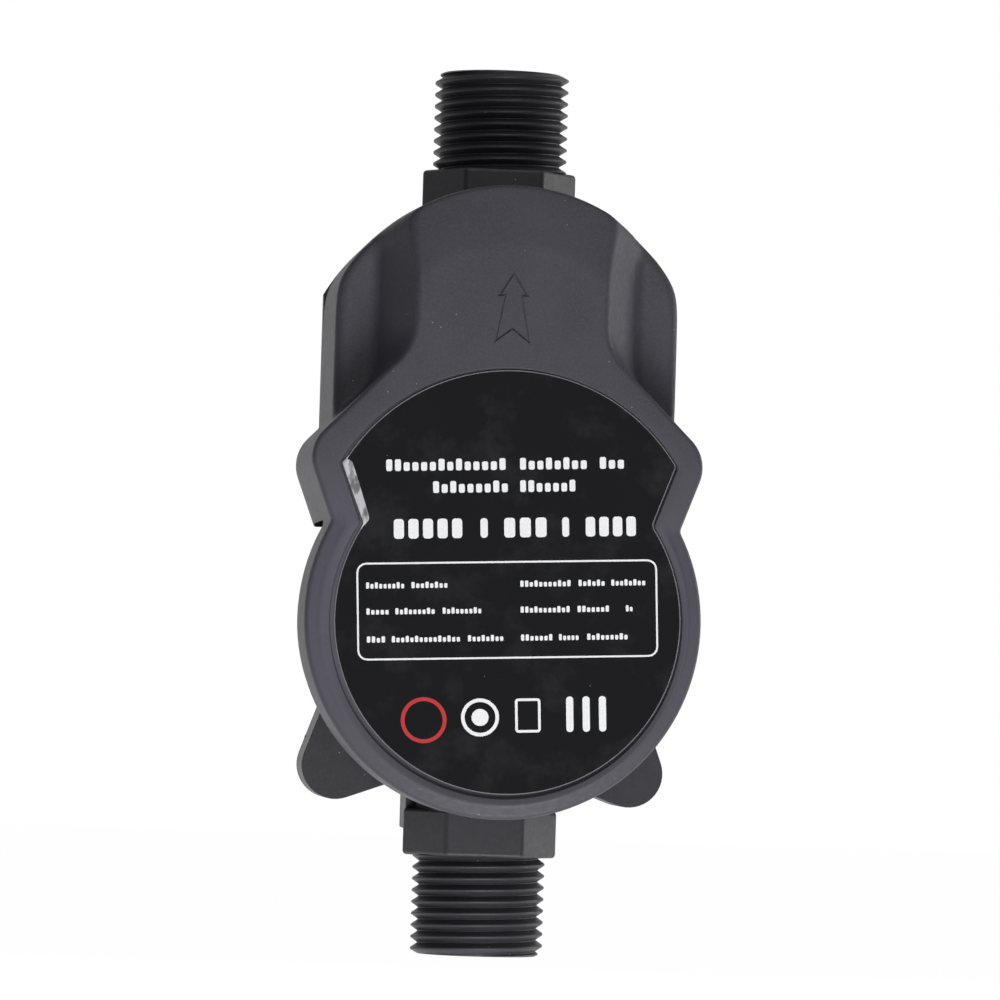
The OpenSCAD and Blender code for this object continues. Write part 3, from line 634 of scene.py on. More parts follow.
def finishes() -> dict[str, Finish]:
    """The finish of each of the record's material slots.

    Returns:
        Slot name to finish.
    """
    return {
        # The cover's plastic carries painted light, a paler band over the lower drum.
        "cover": GrainedPlastic("cover_plastic", (0.041, 0.039, 0.0505), painted_light_strength=0.95),
        "label": GlossFilm("label_film", (0.0085, 0.0085, 0.010)),
        "casing": GrainedPlastic(
            "casing_plastic", (0.024, 0.0228, 0.0285), 0.48, 0.0003, 0.000006, dust=0.6, clouding=0.1
        ),
        "rear": GrainedPlastic(
            "rear_plastic", (0.022, 0.021, 0.025), 0.5, 0.0003, 0.000008, dust=0.4, clouding=0.1
        ),
        "steel_screws": Metal("plated_steel", (0.62, 0.62, 0.61), 0.3, (12.0, 1.0, 1.0)),
        "seal_rubber": Pressed("seal_rubber", (0.018, 0.018, 0.019), 0.72, 0.0005),
        "can_plastic": GrainedPlastic("can_plastic", (0.04, 0.04, 0.045), 0.4, 0.0004, 0.000008, dust=0.0),
        "ceramic": Pressed("ceramic", (0.8, 0.79, 0.75), 0.22, 0.0006),
        "carbon": Pressed("pressed_carbon", (0.045, 0.045, 0.05), 0.45, 0.0003, metallic=0.2),
        "magnet": Pressed("ferrite", (0.07, 0.07, 0.075), 0.48, 0.0004, metallic=0.4),
        "white_plastic": GrainedPlastic(
            "white_plastic", (0.72, 0.71, 0.67), 0.42, 0.0004, 0.000006, dust=0.0, clouding=0.04
        ),
        "core_steel": StackedSheets("core_sheets", (0.36, 0.37, 0.39)),
        "copper": WoundWire("enamelled_wire", (0.62, 0.25, 0.09)),
        "board": SolderMask("board_mask", (0.02, 0.13, 0.05)),
        "parts_black": GrainedPlastic("moulded_epoxy", (0.02, 0.02, 0.022), 0.55, 0.0002, 0.00001, dust=0.0),
        "can_metal": Metal("drawn_can", (0.66, 0.67, 0.69), 0.25, (1.0, 14.0, 1.0)),
        "reed_glass": ClearGlass("reed_glass", (0.75, 0.88, 0.8)),
    }


# Mesh work, in millimetres


class Blank:
    """A mesh being shaped, in millimetres and in the CAD model's frame."""

    def __init__(self) -> None:
        """Starts empty."""
        self.bm = bmesh.new()

    @classmethod
    def of_node(cls, node: bpy.types.Object, flat: float = 0.6) -> "Blank":
        """A merged copy of a CAD node's mesh, with its flat faces whole.

        Args:
            node: the CAD node.
            flat: faces that differ by less than so many degrees become one.

        Returns:
            The copy, in millimetres.
        """
        made = cls()
        made.bm.from_mesh(node.data)
        bmesh.ops.remove_doubles(made.bm, verts=made.bm.verts, dist=TINY)
        bmesh.ops.scale(made.bm, vec=Vector((1 / MM,) * 3), verts=made.bm.verts)
        bmesh.ops.dissolve_limit(
            made.bm, angle_limit=math.radians(flat), verts=made.bm.verts, edges=made.bm.edges
        )
        return made

    def chain(self, points: Iterable[Sequence[float]], closed: bool = False) -> list[bmesh.types.BMEdge]:
        """Joins points by edges.

        Args:
            points: the points in order.
            closed: whether the last is joined to the first.

        Returns:
            The edges.
        """
        verts = [self.bm.verts.new(point) for point in points]
        ends = verts[1:] + verts[:1] if closed else verts[1:]
        return [self.bm.edges.new(pair) for pair in zip(verts, ends)]

    def loft(self, rows: Sequence[Sequence[Sequence[float]]], closed: bool = False) -> None:
        """Bridges rows of points, each to the next.

        Args:
            rows: the rows, all of one length.
            closed: whether each row is a ring.
        """
        made = [self.chain(row, closed) for row in rows]
        for first, second in zip(made, made[1:]):
            bmesh.ops.bridge_loops(self.bm, edges=first + second)

    def push(self, faces: Sequence[bmesh.types.BMFace], move: Sequence[float]) -> None:
        """Extrudes faces and moves the new ones.

        Args:
            faces: the faces.
            move: how far, along x, y and z.
        """
        pushed = bmesh.ops.extrude_face_region(self.bm, geom=list(faces))
        moved = [v for v in pushed["geom"] if isinstance(v, bmesh.types.BMVert)]
        bmesh.ops.translate(self.bm, vec=move, verts=moved)

    def hexagon(self, corner_r: float, low: float, high: float) -> None:
        """Adds an upright hexagonal bar with two of its corners at y = 0.

        Args:
            corner_r: the radius of its corners.
            low: the height of its lower end.
            high: the height of its upper end.
        """
        turn = Matrix.Translation((0, 0, low)) @ Matrix.Rotation(HEX_TURN, 4, "Z")
        bmesh.ops.create_circle(self.bm, cap_ends=True, segments=6, radius=corner_r, matrix=turn)
        self.push(self.bm.faces, (0, 0, high - low))
        self.outward()

    def merge(self, dist: float = 0.002) -> None:
        """Joins doubled points and drops faces without an area.

        Args:
            dist: points closer than this become one.
        """
        bmesh.ops.remove_doubles(self.bm, verts=self.bm.verts, dist=dist)
        bmesh.ops.dissolve_degenerate(self.bm, dist=dist * 0.5, edges=self.bm.edges)

    def outward(self) -> None:
        """Turns every face outwards."""
        bmesh.ops.recalc_face_normals(self.bm, faces=self.bm.faces)

    def flip(self) -> None:
        """Turns every face round."""
        bmesh.ops.reverse_faces(self.bm, faces=self.bm.faces)

    def thicken(self, wall: float) -> None:
        """Gives an open skin a wall."""
        bmesh.ops.solidify(self.bm, geom=list(self.bm.faces), thickness=wall)

    def open_edges(self, test: Callable[[Vector], bool]) -> list[bmesh.types.BMEdge]:
        """Edges with one face only.

        Args:
            test: what an edge's middle has to pass.

        Returns:
            The edges.
        """
        return [
            e for e in self.bm.edges if len(e.link_faces) == 1 and test((e.verts[0].co + e.verts[1].co) / 2)
        ]

    def sharp_edges(self, least: float, test: Callable[[Vector], bool]) -> list[bmesh.types.BMEdge]:
        """Edges that are outer corners.

        Args:
            least: the least angle between their faces, in degrees.
            test: what an edge's middle has to pass.

        Returns:
            The edges.
        """
        return [
            e
            for e in self.bm.edges
            if len(e.link_faces) == 2
            and e.is_convex
            and e.calc_face_angle() > math.radians(least)
            and test((e.verts[0].co + e.verts[1].co) / 2)
        ]

    def soften(self, edges: Sequence[bmesh.types.BMEdge], width: float, segments: int = 3) -> None:
        """Rounds edges.

        Args:
            edges: the edges.
            width: how far from each edge the rounding starts.
            segments: its steps.
        """
        bmesh.ops.bevel(
            self.bm,
            geom=list(edges),
            offset=width,
            offset_type="OFFSET",
            affect="EDGES",
            segments=segments,
            profile=0.5,
            clamp_overlap=True,
            material=-1,
        )

    def cut_off(self, height: float, above: bool, bore: float | None = None) -> None:
        """Cuts everything off above or below a height and closes the cut face.

        Args:
            height: the height of the cut.
            above: whether the part above the cut goes.
            bore: radius of a new bore ring that the cut face keeps open, if any.
        """
        geom = list(self.bm.verts) + list(self.bm.edges) + list(self.bm.faces)
        bmesh.ops.bisect_plane(
            self.bm,
            geom=geom,
            dist=TOUCH / 10,
            plane_co=(0, 0, height),
            plane_no=(0, 0, 1),
            clear_outer=above,
            clear_inner=not above,
        )
        rim = self.open_edges(lambda p: abs(p.z - height) < TOUCH)
        if bore:
            ring = bmesh.ops.create_circle(
                self.bm, segments=ROUND_STEPS, radius=bore, matrix=Matrix.Translation((0, 0, height))
            )
            rim += list({e for v in ring["verts"] for e in v.link_edges})
        bmesh.ops.triangle_fill(self.bm, edges=rim, use_beauty=True, normal=(0, 0, 1 if above else -1))

    def carve(self, cutter: "Blank") -> None:
        """Takes another blank's solid out of this one.

        Args:
            cutter: the closed solid that is taken out.
        """
        pair = []
        for label, blank in (("carved", self), ("cutter", cutter)):
            mesh = bpy.data.meshes.new(label)
            blank.bm.to_mesh(mesh)
            made = bpy.data.objects.new(label, mesh)
            bpy.context.scene.collection.objects.link(made)
            pair.append(made)
        work = pair[0].modifiers.new("cut", "BOOLEAN")
        work.operation = "DIFFERENCE"
        work.solver = "EXACT"
        work.object = pair[1]
        graph = bpy.context.evaluated_depsgraph_get()
        cut = bpy.data.meshes.new_from_object(pair[0].evaluated_get(graph))
        self.bm.clear()
        self.bm.from_mesh(cut)
        for made in pair:
            mesh = made.data
            bpy.data.objects.remove(made)
            bpy.data.meshes.remove(mesh)
        bpy.data.meshes.remove(cut)
        cutter.bm.free()

    def piece(
        self,
        name: str,
        slot: str,
        finish: bpy.types.Material,
        nodes: Sequence[str] = (),
        sharp: float = 34.0,
    ) -> bpy.types.Object:
        """Makes the finished object, a piece of the housing.

        Args:
            name: the piece's name.
            slot: the record's material slot; not used.
            finish: its material.
            nodes: the CAD nodes that it stands for.
            sharp: corners above so many degrees stay sharp.

        Returns:
            The object, in metres.
        """
        bmesh.ops.scale(self.bm, vec=Vector((MM,) * 3), verts=self.bm.verts)
        for face in self.bm.faces:
            face.smooth = True
        mesh = bpy.data.meshes.new(name)
        self.bm.to_mesh(mesh)
        self.bm.free()
        mesh.set_sharp_from_angle(angle=math.radians(sharp))
        mesh.materials.append(finish)
        made = bpy.data.objects.new(name, mesh)
        flatten = made.modifiers.new("flat_faces", "WEIGHTED_NORMAL")
        flatten.keep_sharp = True
        bpy.context.scene.collection.objects.link(made)
        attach(made, "housing")
        if nodes:
            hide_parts(*nodes)
        log.info("%s: %d faces", name, len(mesh.polygons))
        return made


def between(first: Sequence[float], second: Sequence[float], share: float) -> tuple[float, ...]:
    """The point a share of the way from the first to the second."""
    return tuple(a + (b - a) * share for a, b in zip(first, second))


def on_circle(centre: Flat, radius: float, turn: float) -> Flat:
    """The point of a circle at so many degrees."""
    at = math.radians(turn)
    return centre[0] + radius * math.cos(at), centre[1] + radius * math.sin(at)


def arc(centre: Flat, radius: float, start: float, stop: float, steps: int) -> list[Flat]:
    """Points on an arc.

    Args:
        centre: its centre.
        radius: its radius.
        start: where it starts, in degrees.
        stop: where it ends, in degrees.
        steps: its steps.

    Returns:
        The points, both ends among them.
    """
    return [on_circle(centre, radius, start + (stop - start) * i / steps) for i in range(steps + 1)]


def line(first: Flat, second: Flat, steps: int) -> list[Flat]:
    """Points on a line, both ends among them."""
    return [between(first, second, i / steps) for i in range(steps + 1)]


def bend(
    start: Sequence[float], corner: Sequence[float], stop: Sequence[float], steps: int
) -> list[tuple[float, ...]]:
    """A curve between two points that leaves and ends towards a corner.

    Args:
        start: where it starts.
        corner: the corner that it rounds.
        stop: where it ends.
        steps: its spans.

    Returns:
        The curve's points.
    """
    shares = [i / steps for i in range(steps + 1)]
    return [between(between(start, corner, t), between(corner, stop, t), t) for t in shares]


def rounded(
    before: Sequence[float],
    corner: Sequence[float],
    after: Sequence[float],
    radius: float,
    steps: int = 4,
    side_share: float = 0.46,
) -> list[tuple[float, ...]]:
    """A corner of a polyline turned into a short curve.

    Args:
        before: the point before the corner.
        corner: the corner.
        after: the point after it.
        radius: how far from the corner the curve starts, at most.
        steps: spans of the curve.
        side_share: the most of either side that the curve takes up.

    Returns:
        The curve's points.
    """
    ends = []
    for other in (before, after):
        reach = math.dist(corner, other)
        ends.append(between(corner, other, min(radius, side_share * reach) / max(reach, TINY)))
    return bend(ends[0], corner, ends[1], steps)


def soft_plus(value: float, width: float) -> float:
    """Zero below, the value above, with a soft knee of the width."""
    return width * math.log1p(math.exp(value / width)) if value < KNEE_END * width else value


# The cover


class Run(IntEnum):
    """The runs of the cover's outlines, bottom to top."""

    DRUM = 0
    NOTCH = 1
    LEAN = 2
    BUMP = 3
    SLANT = 4
    FLARE = 5
    SIDE = 6
    CORNER = 7
    ARCH = 8


@dataclass(frozen=True)
class CoverLines:
    """The cover's outlines in the front plane, right half, bottom to top.

    Attributes:
        drum_r: radius of the motor drum.
        drum_z: height of the drum's centre.
        bump_r: radius of the bump over the upper screw.
        bump: the bump's centre.
        lean: how many degrees the bump's lower edge leans inwards.
        flare_r: radius of the hollow between the bump's slant and the tower.
        arch_r: radius of the arch over the hood.
        arch_z: height of the arch's centre.
        tower: half width of the tower's face.
        foot: half width of the tower's foot.
        shoulder: half width of the hood.
        bump_knee: how softly the hood's side runs into the bump.
        arch_knee: how softly the hood's side runs into the arch.
        notch_r: radius of the fillet between the drum and the bump.
        recess_r: radius of the round part of the label recess.
        recess_drop: how far that part's centre lies below the drum's.
        recess_top_r: radius of the recess's top arc.
        recess_top_z: height of the top arc's centre.
        recess_fillet: radius of the fillet in the recess's notch.
        recess_turn_r: radius of the recess's corners over the bumps.
        recess_shift: how far the recess lies to the right of the middle.
        bump_rim: the rim that the recess leaves at the right bump.
        left_rim: the rim that it leaves at the left bump.
        spans: how many spans each run has.
    """

    drum_r: float = 30.3
    drum_z: float = 52.0
    bump_r: float = 6.0
    bump: Flat = (23.85, 76.1)
    lean: float = 20.3
    flare_r: float = 9.5
    arch_r: float = 30.3
    arch_z: float = 88.3
    tower: float = 14.6
    foot: float = 20.2
    shoulder: float = 26.4
    bump_knee: float = 0.4
    arch_knee: float = 0.7
    notch_r: float = 1.2
    recess_r: float = 26.85
    recess_drop: float = 0.2
    recess_top_r: float = 30.0
    recess_top_z: float = 60.4
    recess_fillet: float = 0.9
    recess_turn_r: float = 1.3
    recess_shift: float = 0.4
    bump_rim: float = 4.45
    left_rim: float = 3.75
    spans: tuple[int, ...] = (44, 6, 5, 14, 8, 9, 16, 5, 20)

    def first(self, run: Run) -> int:
        """The column that a run starts at."""
        return sum(self.spans[:run])

    def _lean_axes(self) -> tuple[Flat, Flat]:
        """Outward and downward directions of the bump's lower edge."""
        turn = math.radians(self.lean)
        return (math.cos(turn), -math.sin(turn)), (-math.sin(turn), -math.cos(turn))

    def _edge_point(self, edge: float, along: float) -> Flat:
        """A point on the bump's lower edge, or on a line beside it.

        Args:
            edge: how far the line lies from the bump's centre.
            along: the distance down the line.

        Returns:
            The point, in the front view.
        """
        out, down = self._lean_axes()
        return (
            self.bump[0] + edge * out[0] + along * down[0],
            self.bump[1] + edge * out[1] + along * down[1],
        )

    def _fillet(self, edge: float, ring_r: float, fillet: float, hub_z: float) -> tuple[Flat, float, float]:
        """Where a fillet between the bump's lower edge and a ring sits.

        Args:
            edge: how far the lower edge lies from the bump's centre.
            ring_r: the ring's radius.
            fillet: the fillet's radius, below zero where it turns inside the ring.
            hub_z: height of the ring's centre.

        Returns:
            Its centre, its angle as seen from the ring's centre, and its distance along the edge.
        """
        down = self._lean_axes()[1]
        x, z = self._edge_point(edge + fillet, 0.0)
        half = x * down[0] + (z - hub_z) * down[1]
        along = -half - math.sqrt(half**2 - (x**2 + (z - hub_z) ** 2 - (ring_r + fillet) ** 2))
        centre = self._edge_point(edge + fillet, along)
        return centre, math.degrees(math.atan2(centre[1] - hub_z, centre[0])), along

    @staticmethod
    def _join(parts: Sequence[list[Flat]]) -> list[Flat]:
        """Joins runs that share their ends.

        Args:
            parts: the runs in order.

        Returns:
            One run.
        """
        made = list(parts[0])
        for part in parts[1:]:
            made.extend(part[1:])
        return made

    @staticmethod
    def _on_middle(points: Sequence[Flat]) -> list[Flat]:
        """The points with both ends set on the middle line."""
        return [(0.0, points[0][1]), *points[1:-1], (0.0, points[-1][1])]

    def face(self, inset: float, half: float, corner: float = 2.2) -> list[Flat]:
        """The outline of the raised face, or of its foot.

        Args:
            inset: how far inside the outline.
            half: the tower's half width.
            corner: how far the tower's top corner is rounded.

        Returns:
            One point for each column.
        """
        n = self.spans
        edge, side, top_r = self.bump_r - inset, half - inset, self.arch_r - inset
        notch, seen, along = self._fillet(self.bump_r, self.drum_r, self.notch_r, self.drum_z)
        bump = arc(self.bump, edge, -self.lean, 45.0, n[Run.BUMP])
        slant = sum(self.bump) + (self.bump_r + self.flare_r) * math.sqrt(2.0)
        run = half + self.flare_r
        flare = arc((run, slant - run), self.flare_r + inset, 225.0, 180.0, n[Run.FLARE])
        arch = (0.0, self.arch_z)
        peak = (side, self.arch_z + math.sqrt(top_r**2 - side**2))
        below = (side, peak[1] - corner)
        end_turn = math.degrees(math.acos(side / top_r) + corner / top_r)
        parts = [
            arc((0.0, self.drum_z), self.drum_r - inset, -90.0, seen, n[Run.DRUM]),
            arc(notch, self.notch_r + inset, seen + 180.0, 180.0 - self.lean, n[Run.NOTCH]),
            line(self._edge_point(edge, along), self._edge_point(edge, 0.0), n[Run.LEAN]),
            bump,
            line(bump[-1], flare[0], n[Run.SLANT]),
            flare,
            line((side, slant - run), below, n[Run.SIDE]),
            bend(below, peak, on_circle(arch, top_r, end_turn), n[Run.CORNER]),
            arc(arch, top_r, end_turn, 90.0, n[Run.ARCH]),
        ]
        return self._on_middle(self._join(parts))

    def hood(self, foot: Sequence[Flat]) -> list[Flat]:
        """The hood's outline, a point beside each point of the foot.

        Args:
            foot: the tower foot's outline.

        Returns:
            One point for each column.
        """
        made = []
        for i, (x, z) in enumerate(foot):
            if i <= self.first(Run.SLANT) or i >= self.first(Run.ARCH):
                made.append((x, z))
                continue
            ring = math.sqrt(max(self.arch_r**2 - max(z - self.arch_z, 0.0) ** 2, 0.0))
            if i <= self.first(Run.CORNER):
                rise = min(abs(z - self.bump[1]), self.bump_r)
                ball = self.bump[0] + math.sqrt(self.bump_r**2 - rise**2)
                wide = self.shoulder + soft_plus(ball - self.shoulder, self.bump_knee)
                ring -= soft_plus(ring - wide, self.arch_knee)
            made.append((max(ring, x), z))
        return made

    def recess(self, inset: float, side: int = 1) -> list[Flat]:
        """The label recess, a point for each column.

        Args:
            inset: how far inside the recess's outline; below zero outside it.
            side: 1 for the right half, -1 for the left half drawn on the right.

        Returns:
            One point for each column.
        """
        n = self.spans
        top = (0.0, self.recess_top_z)
        hub = (0.0, self.drum_z - self.recess_drop)
        edge = self.bump_r - (self.bump_rim if side > 0 else self.left_rim)
        notch, seen, along = self._fillet(edge, self.recess_r, self.recess_fillet, hub[1])
        turn, up, near = self._fillet(edge, self.recess_top_r, -self.recess_turn_r, top[1])
        parts = [
            arc(hub, self.recess_r - inset, -90.0, seen, n[Run.DRUM]),
            arc(notch, self.recess_fillet + inset, seen + 180.0, 180.0 - self.lean, n[Run.NOTCH]),
            line(self._edge_point(edge - inset, along), self._edge_point(edge - inset, near), n[Run.LEAN]),
            arc(turn, self.recess_turn_r - inset, -self.lean, up, n[Run.BUMP]),
        ]
        made = self._join(parts)
        outer = [math.degrees(math.atan2(z - top[1], x)) for x, z in self.face(0.0, self.tower)]
        low = outer[self.first(Run.SLANT)]
        for seen_at in outer[self.first(Run.SLANT) + 1 :]:
            share = (seen_at - low) / (90.0 - low)
            made.append(on_circle(top, self.recess_top_r - inset, up + share * (90.0 - up)))
        return [(x + side * self.recess_shift, z) for x, z in self._on_middle(made)]

    def recess_ring(self, inset: float) -> list[Flat]:
        """The whole recess outline as a ring.

        Args:
            inset: how far inside the recess's outline.

        Returns:
            The points, bottom to top on the right and back down on the left.
        """
        right = self.recess(inset)
        left = [(-x, z) for x, z in self.recess(inset, -1)]
        return right + left[-2:0:-1]


@dataclass(frozen=True)
class Arrow:
    """The outline of the flow arrow, in the front plane."""

    middle_z: float = 99.7
    half_len: float = 5.5
    barb: float = 2.4
    head: float = 3.8
    stem: float = 1.45
    foot: float = 2.75
    notch: float = 2.1
    line_width: float = 0.3
    depth: float = 0.3

    def outline(self) -> list[Flat]:
        """The arrow's corners, from its point round the right side.

        Returns:
            The corners, in the front view.
        """
        top, low = self.middle_z + self.half_len, self.middle_z - self.half_len
        neck = top - self.head
        right = [(0.0, top), (self.barb, neck), (self.stem, neck), (self.foot, low), (0.0, low + self.notch)]
        return right + [(-x, z) for x, z in reversed(right[1:-1])]


@dataclass
class FrontCover:
    """The charcoal moulding: motor drum, hood, tower, bumps, label recess and flow arrow.

    Depths count back from the face.

    Attributes:
        lines: the outlines in the front plane.
        arrow: the engraved flow arrow.
        front_y: where the face lies.
        drum_depth: depth of the drum's back.
        hood_depth: depth of the hood's back.
        hood_rows: where the hood's wall is divided, as y.
        back_band: width of the wall's last strip.
        shoulder_depth: depth of the shoulders beside the tower.
        recess_depth: depth of the label recess.
        wall: thickness of the moulding.
        rim_width: width of the band along the face's edge.
        crown_r: distance from the arch's centre at which the face starts to fall back.
        crown_slope: how steeply it falls back.
        crown_knee: how softly it starts to.
        crease_rows: where the face is divided beside that crease, as distances from it.
        crease_least: the first row's least share of the way, and the step to each next row's.
        crease_most: every row's greatest share of the way.
        rim_bead: how far the drum's edge falls back, which makes the rim a bead.
        mid_share: share of the bead's depth at the band's inner side.
        bead_fall: how fast that fades towards the recess.
        lip_share: share of the bead's depth at the recess's lip.
        rim_share: share of the bead's depth at the recess's edge.
        foot_corner: how far the top corner of the tower's foot is rounded.
        edge_r: radius of the face's edge.
        foot_r: radius of the hollow at the tower's foot.
        shoulder_r: radius of the hood's edge.
        lip_r: radius of the recess's lip.
        lip_width: how far outside the recess the lip starts.
        floor_r: radius of the hollow at the recess's floor.
        floor_inset: how far inside the recess the floor starts.
        step_gap: how far before and behind the shoulder foot and hood lie where they meet.
        step_fall: how fast that gap closes as they part.
        slot_r: corner radius of the outlet collar with its clearance.
        slot_low: where the collar's slot starts.
        slot_high: where the slot ends.
        slot_back: the slot's corners behind this y are pushed out through the back.
        slot_spread: how much wider those corners get.
        slot_reach: how far back they are pushed.
        overrun: how far a cutter starts before the face.
    """

    lines: CoverLines = field(default_factory=CoverLines)
    arrow: Arrow = field(default_factory=Arrow)
    front_y: float = -35.5
    drum_depth: float = 21.0
    hood_depth: float = 46.3
    hood_rows: Flat = (-6.0, 3.0)
    back_band: float = 0.5
    shoulder_depth: float = 10.5
    recess_depth: float = 1.0
    wall: float = 1.8
    rim_width: float = 1.7
    crown_r: float = 21.3
    crown_slope: float = 0.2889
    crown_knee: float = 0.35
    crease_rows: tuple[float, ...] = (-1.1, -0.45, 0.0, 0.45, 1.1)
    crease_least: float = 0.01
    crease_most: float = 0.97
    rim_bead: float = 0.5
    mid_share: float = 0.45
    bead_fall: float = 1.6
    lip_share: float = 0.2
    rim_share: float = 0.25
    foot_corner: float = 2.6
    edge_r: float = 1.3
    foot_r: float = 1.3
    shoulder_r: float = 1.8
    lip_r: float = 0.4
    lip_width: float = 0.5
    floor_r: float = 0.1
    floor_inset: float = 0.25
    step_gap: float = 1.2
    step_fall: float = 0.4
    slot_r: float = 12.124 + 0.35
    slot_low: float = 112.0
    slot_high: float = 124.0
    slot_back: float = 5.0
    slot_spread: float = 2.0
    slot_reach: float = 8.0
    overrun: float = 0.5

    def crown(self, x: float, z: float) -> float:
        """How far the face falls back near the top.

        Args:
            x: the point's distance from the middle line.
            z: its height.

        Returns:
            The depth.
        """
        if z < self.lines.arch_z:
            return 0.0
        far = math.hypot(x, z - self.lines.arch_z)
        return self.crown_slope * soft_plus(far - self.crown_r, self.crown_knee)

    def _bead(self, column: int) -> float:
        """The height of the rim's bead in a column, full round the drum and gone at the flare."""
        full, none = self.lines.first(Run.NOTCH), self.lines.first(Run.FLARE)
        return self.rim_bead * min(max((none - column) / (none - full), 0.0), 1.0)

    def _crease_shares(self, mid: Flat, lip: Flat) -> list[float]:
        """Where the rows close beside the crown's crease cross a column.

        Args:
            mid: the column's point inside the face's edge.
            lip: its point outside the recess.

        Returns:
            Shares of the way from the first to the second.
        """
        low, high = 0.0, 1.0
        for _ in range(HALVINGS):
            half = (low + high) / 2
            x, z = between(mid, lip, half)
            if z > self.lines.arch_z and math.hypot(x, z - self.lines.arch_z) > self.crown_r:
                low = half
            else:
                high = half
        run = math.dist(mid, lip)
        return [
            min(max(low + row / run, self.crease_least * (j + 1)), self.crease_most)
            for j, row in enumerate(self.crease_rows)
        ]

    def _outer(self, i: int, at: Mapping[str, Flat]) -> list[Point]:
        """The outer side of one column, from the face's edge to the cover's back.

        Args:
            i: the column.
            at: the column's point on each outline.

        Returns:
            The points, as x, z and depth.
        """
        bead = self._bead(i)
        edge, foot, hood = at["edge"], at["foot"], at["hood"]
        sink = self.crown(*edge)
        if sink > TOUCH:
            edge = between(edge, foot, sink / self.shoulder_depth)
            sink = self.crown(*edge)
        start = (*at["mid"], self.crown(*at["mid"]) + bead * self.mid_share)
        gap = max(0.0, self.step_gap - self.step_fall * math.dist(foot, hood))
        brow = (*edge, sink + bead)
        heel = (*foot, self.shoulder_depth - gap)
        shelf = (*hood, self.shoulder_depth + gap)
        back = (*hood, self.drum_depth)
        return [
            start,
            *rounded(start, brow, heel, self.edge_r),
            *rounded(brow, heel, shelf, self.foot_r),
            *rounded(heel, shelf, back, self.shoulder_r),
            back,
        ]

    def _inner(self, i: int, at: Mapping[str, Flat]) -> list[Point]:
        """The inner side of one column, from the face's edge to the recess floor.

        Args:
            i: the column.
            at: the column's point on each outline.

        Returns:
            The points, as x, z and depth.
        """
        bead = self._bead(i)
        mid = at["mid"]
        made = [(*mid, self.crown(*mid) + bead * self.mid_share)]
        count = len(self.crease_rows)
        shares = [k / (count + 1) for k in range(1, count + 1)]
        if i >= self.lines.first(Run.FLARE):
            shares = self._crease_shares(mid, at["lip"])
        for share in shares:
            x, z = between(mid, at["lip"], share)
            hollow = bead * self.mid_share * (1.0 - self.bead_fall * share) ** 2
            made.append((x, z, self.crown(x, z) + hollow))
        lip = (*at["lip"], bead * self.lip_share)
        rim = (*at["rim"], bead * self.rim_share)
        foot = (*at["rim"], self.recess_depth)
        floor = (*at["floor"], self.recess_depth)
        made += rounded(lip, rim, foot, self.lip_r, 3)
        made += rounded(rim, foot, floor, self.floor_r, 1)
        return [*made, floor]

    def _half(self, blank: Blank, side: int) -> None:
        """Lofts one half of the skin.

        Args:
            blank: the skin so far.
            side: 1 for the right half, -1 for the left one.
        """
        lines = self.lines
        foot = lines.face(0.0, lines.foot, self.foot_corner)
        outlines = {
            "foot": foot,
            "hood": lines.hood(foot),
            "edge": lines.face(0.0, lines.tower),
            "mid": lines.face(self.rim_width, lines.tower),
            "lip": lines.recess(-self.lip_width, side),
            "rim": lines.recess(0.0, side),
            "floor": lines.recess(self.floor_inset, side),
        }
        columns = [{name: row[i] for name, row in outlines.items()} for i in range(len(foot))]
        sides = [
            [self._outer(i, at) for i, at in enumerate(columns)],
            [self._inner(i, at) for i, at in enumerate(columns)],
        ]
        for part in sides:
            blank.loft([[(side * x, self.front_y + depth, z) for x, z, depth in row] for row in zip(*part)])
        back_y = self.front_y + self.hood_depth
        rows = [self.front_y + self.drum_depth, *self.hood_rows, back_y - self.back_band, back_y]
        wall = outlines["hood"][lines.first(Run.LEAN) :]
        blank.loft([[(side * x, y, z) for x, z in wall] for y in rows])

    def _skin(self) -> Blank:
        """The whole outer skin, open at its back, with its faces outwards.

        Returns:
            The skin's mesh.
        """
        blank = Blank()
        self._half(blank, 1)
        self._half(blank, -1)
        blank.merge()
        floor_y = self.front_y + self.recess_depth
        ring = blank.open_edges(lambda p: abs(p.y - floor_y) < 2 * TOUCH)
        bmesh.ops.contextual_create(blank.bm, geom=ring)
        blank.outward()
        floor = max(blank.bm.faces, key=lambda f: f.calc_area())
        if floor.normal.y > 0:
            blank.flip()
        return blank

    def _slot_cutter(self) -> Blank:
        """The clearance that the outlet's collar and neck pass through, open to the back.

        Returns:
            The cutter's mesh.
        """
        cutter = Blank()
        cutter.hexagon(self.slot_r, self.slot_low, self.slot_high)
        back = [v for v in cutter.bm.verts if v.co.y > self.slot_back]
        bmesh.ops.scale(cutter.bm, vec=(self.slot_spread, 1.0, 1.0), verts=back)
        bmesh.ops.translate(cutter.bm, vec=(0, self.slot_reach, 0), verts=back)
        cutter.outward()
        return cutter

    def _arrow_cutter(self) -> Blank:
        """The engraved line round the flow arrow.

        Returns:
            The cutter's mesh.
        """
        cutter = Blank()
        y = self.front_y - self.overrun
        cutter.bm.faces.new([cutter.bm.verts.new((x, y, z)) for x, z in self.arrow.outline()])
        cutter.bm.normal_update()
        bmesh.ops.inset_region(
            cutter.bm,
            faces=list(cutter.bm.faces),
            thickness=self.arrow.line_width,
            use_even_offset=True,
            use_boundary=True,
        )
        core = max(cutter.bm.faces, key=lambda f: len(f.verts))
        bmesh.ops.delete(cutter.bm, geom=[core], context="FACES")
        cutter.push(cutter.bm.faces, (0, self.overrun + self.arrow.depth, 0))
        cutter.outward()
        return cutter

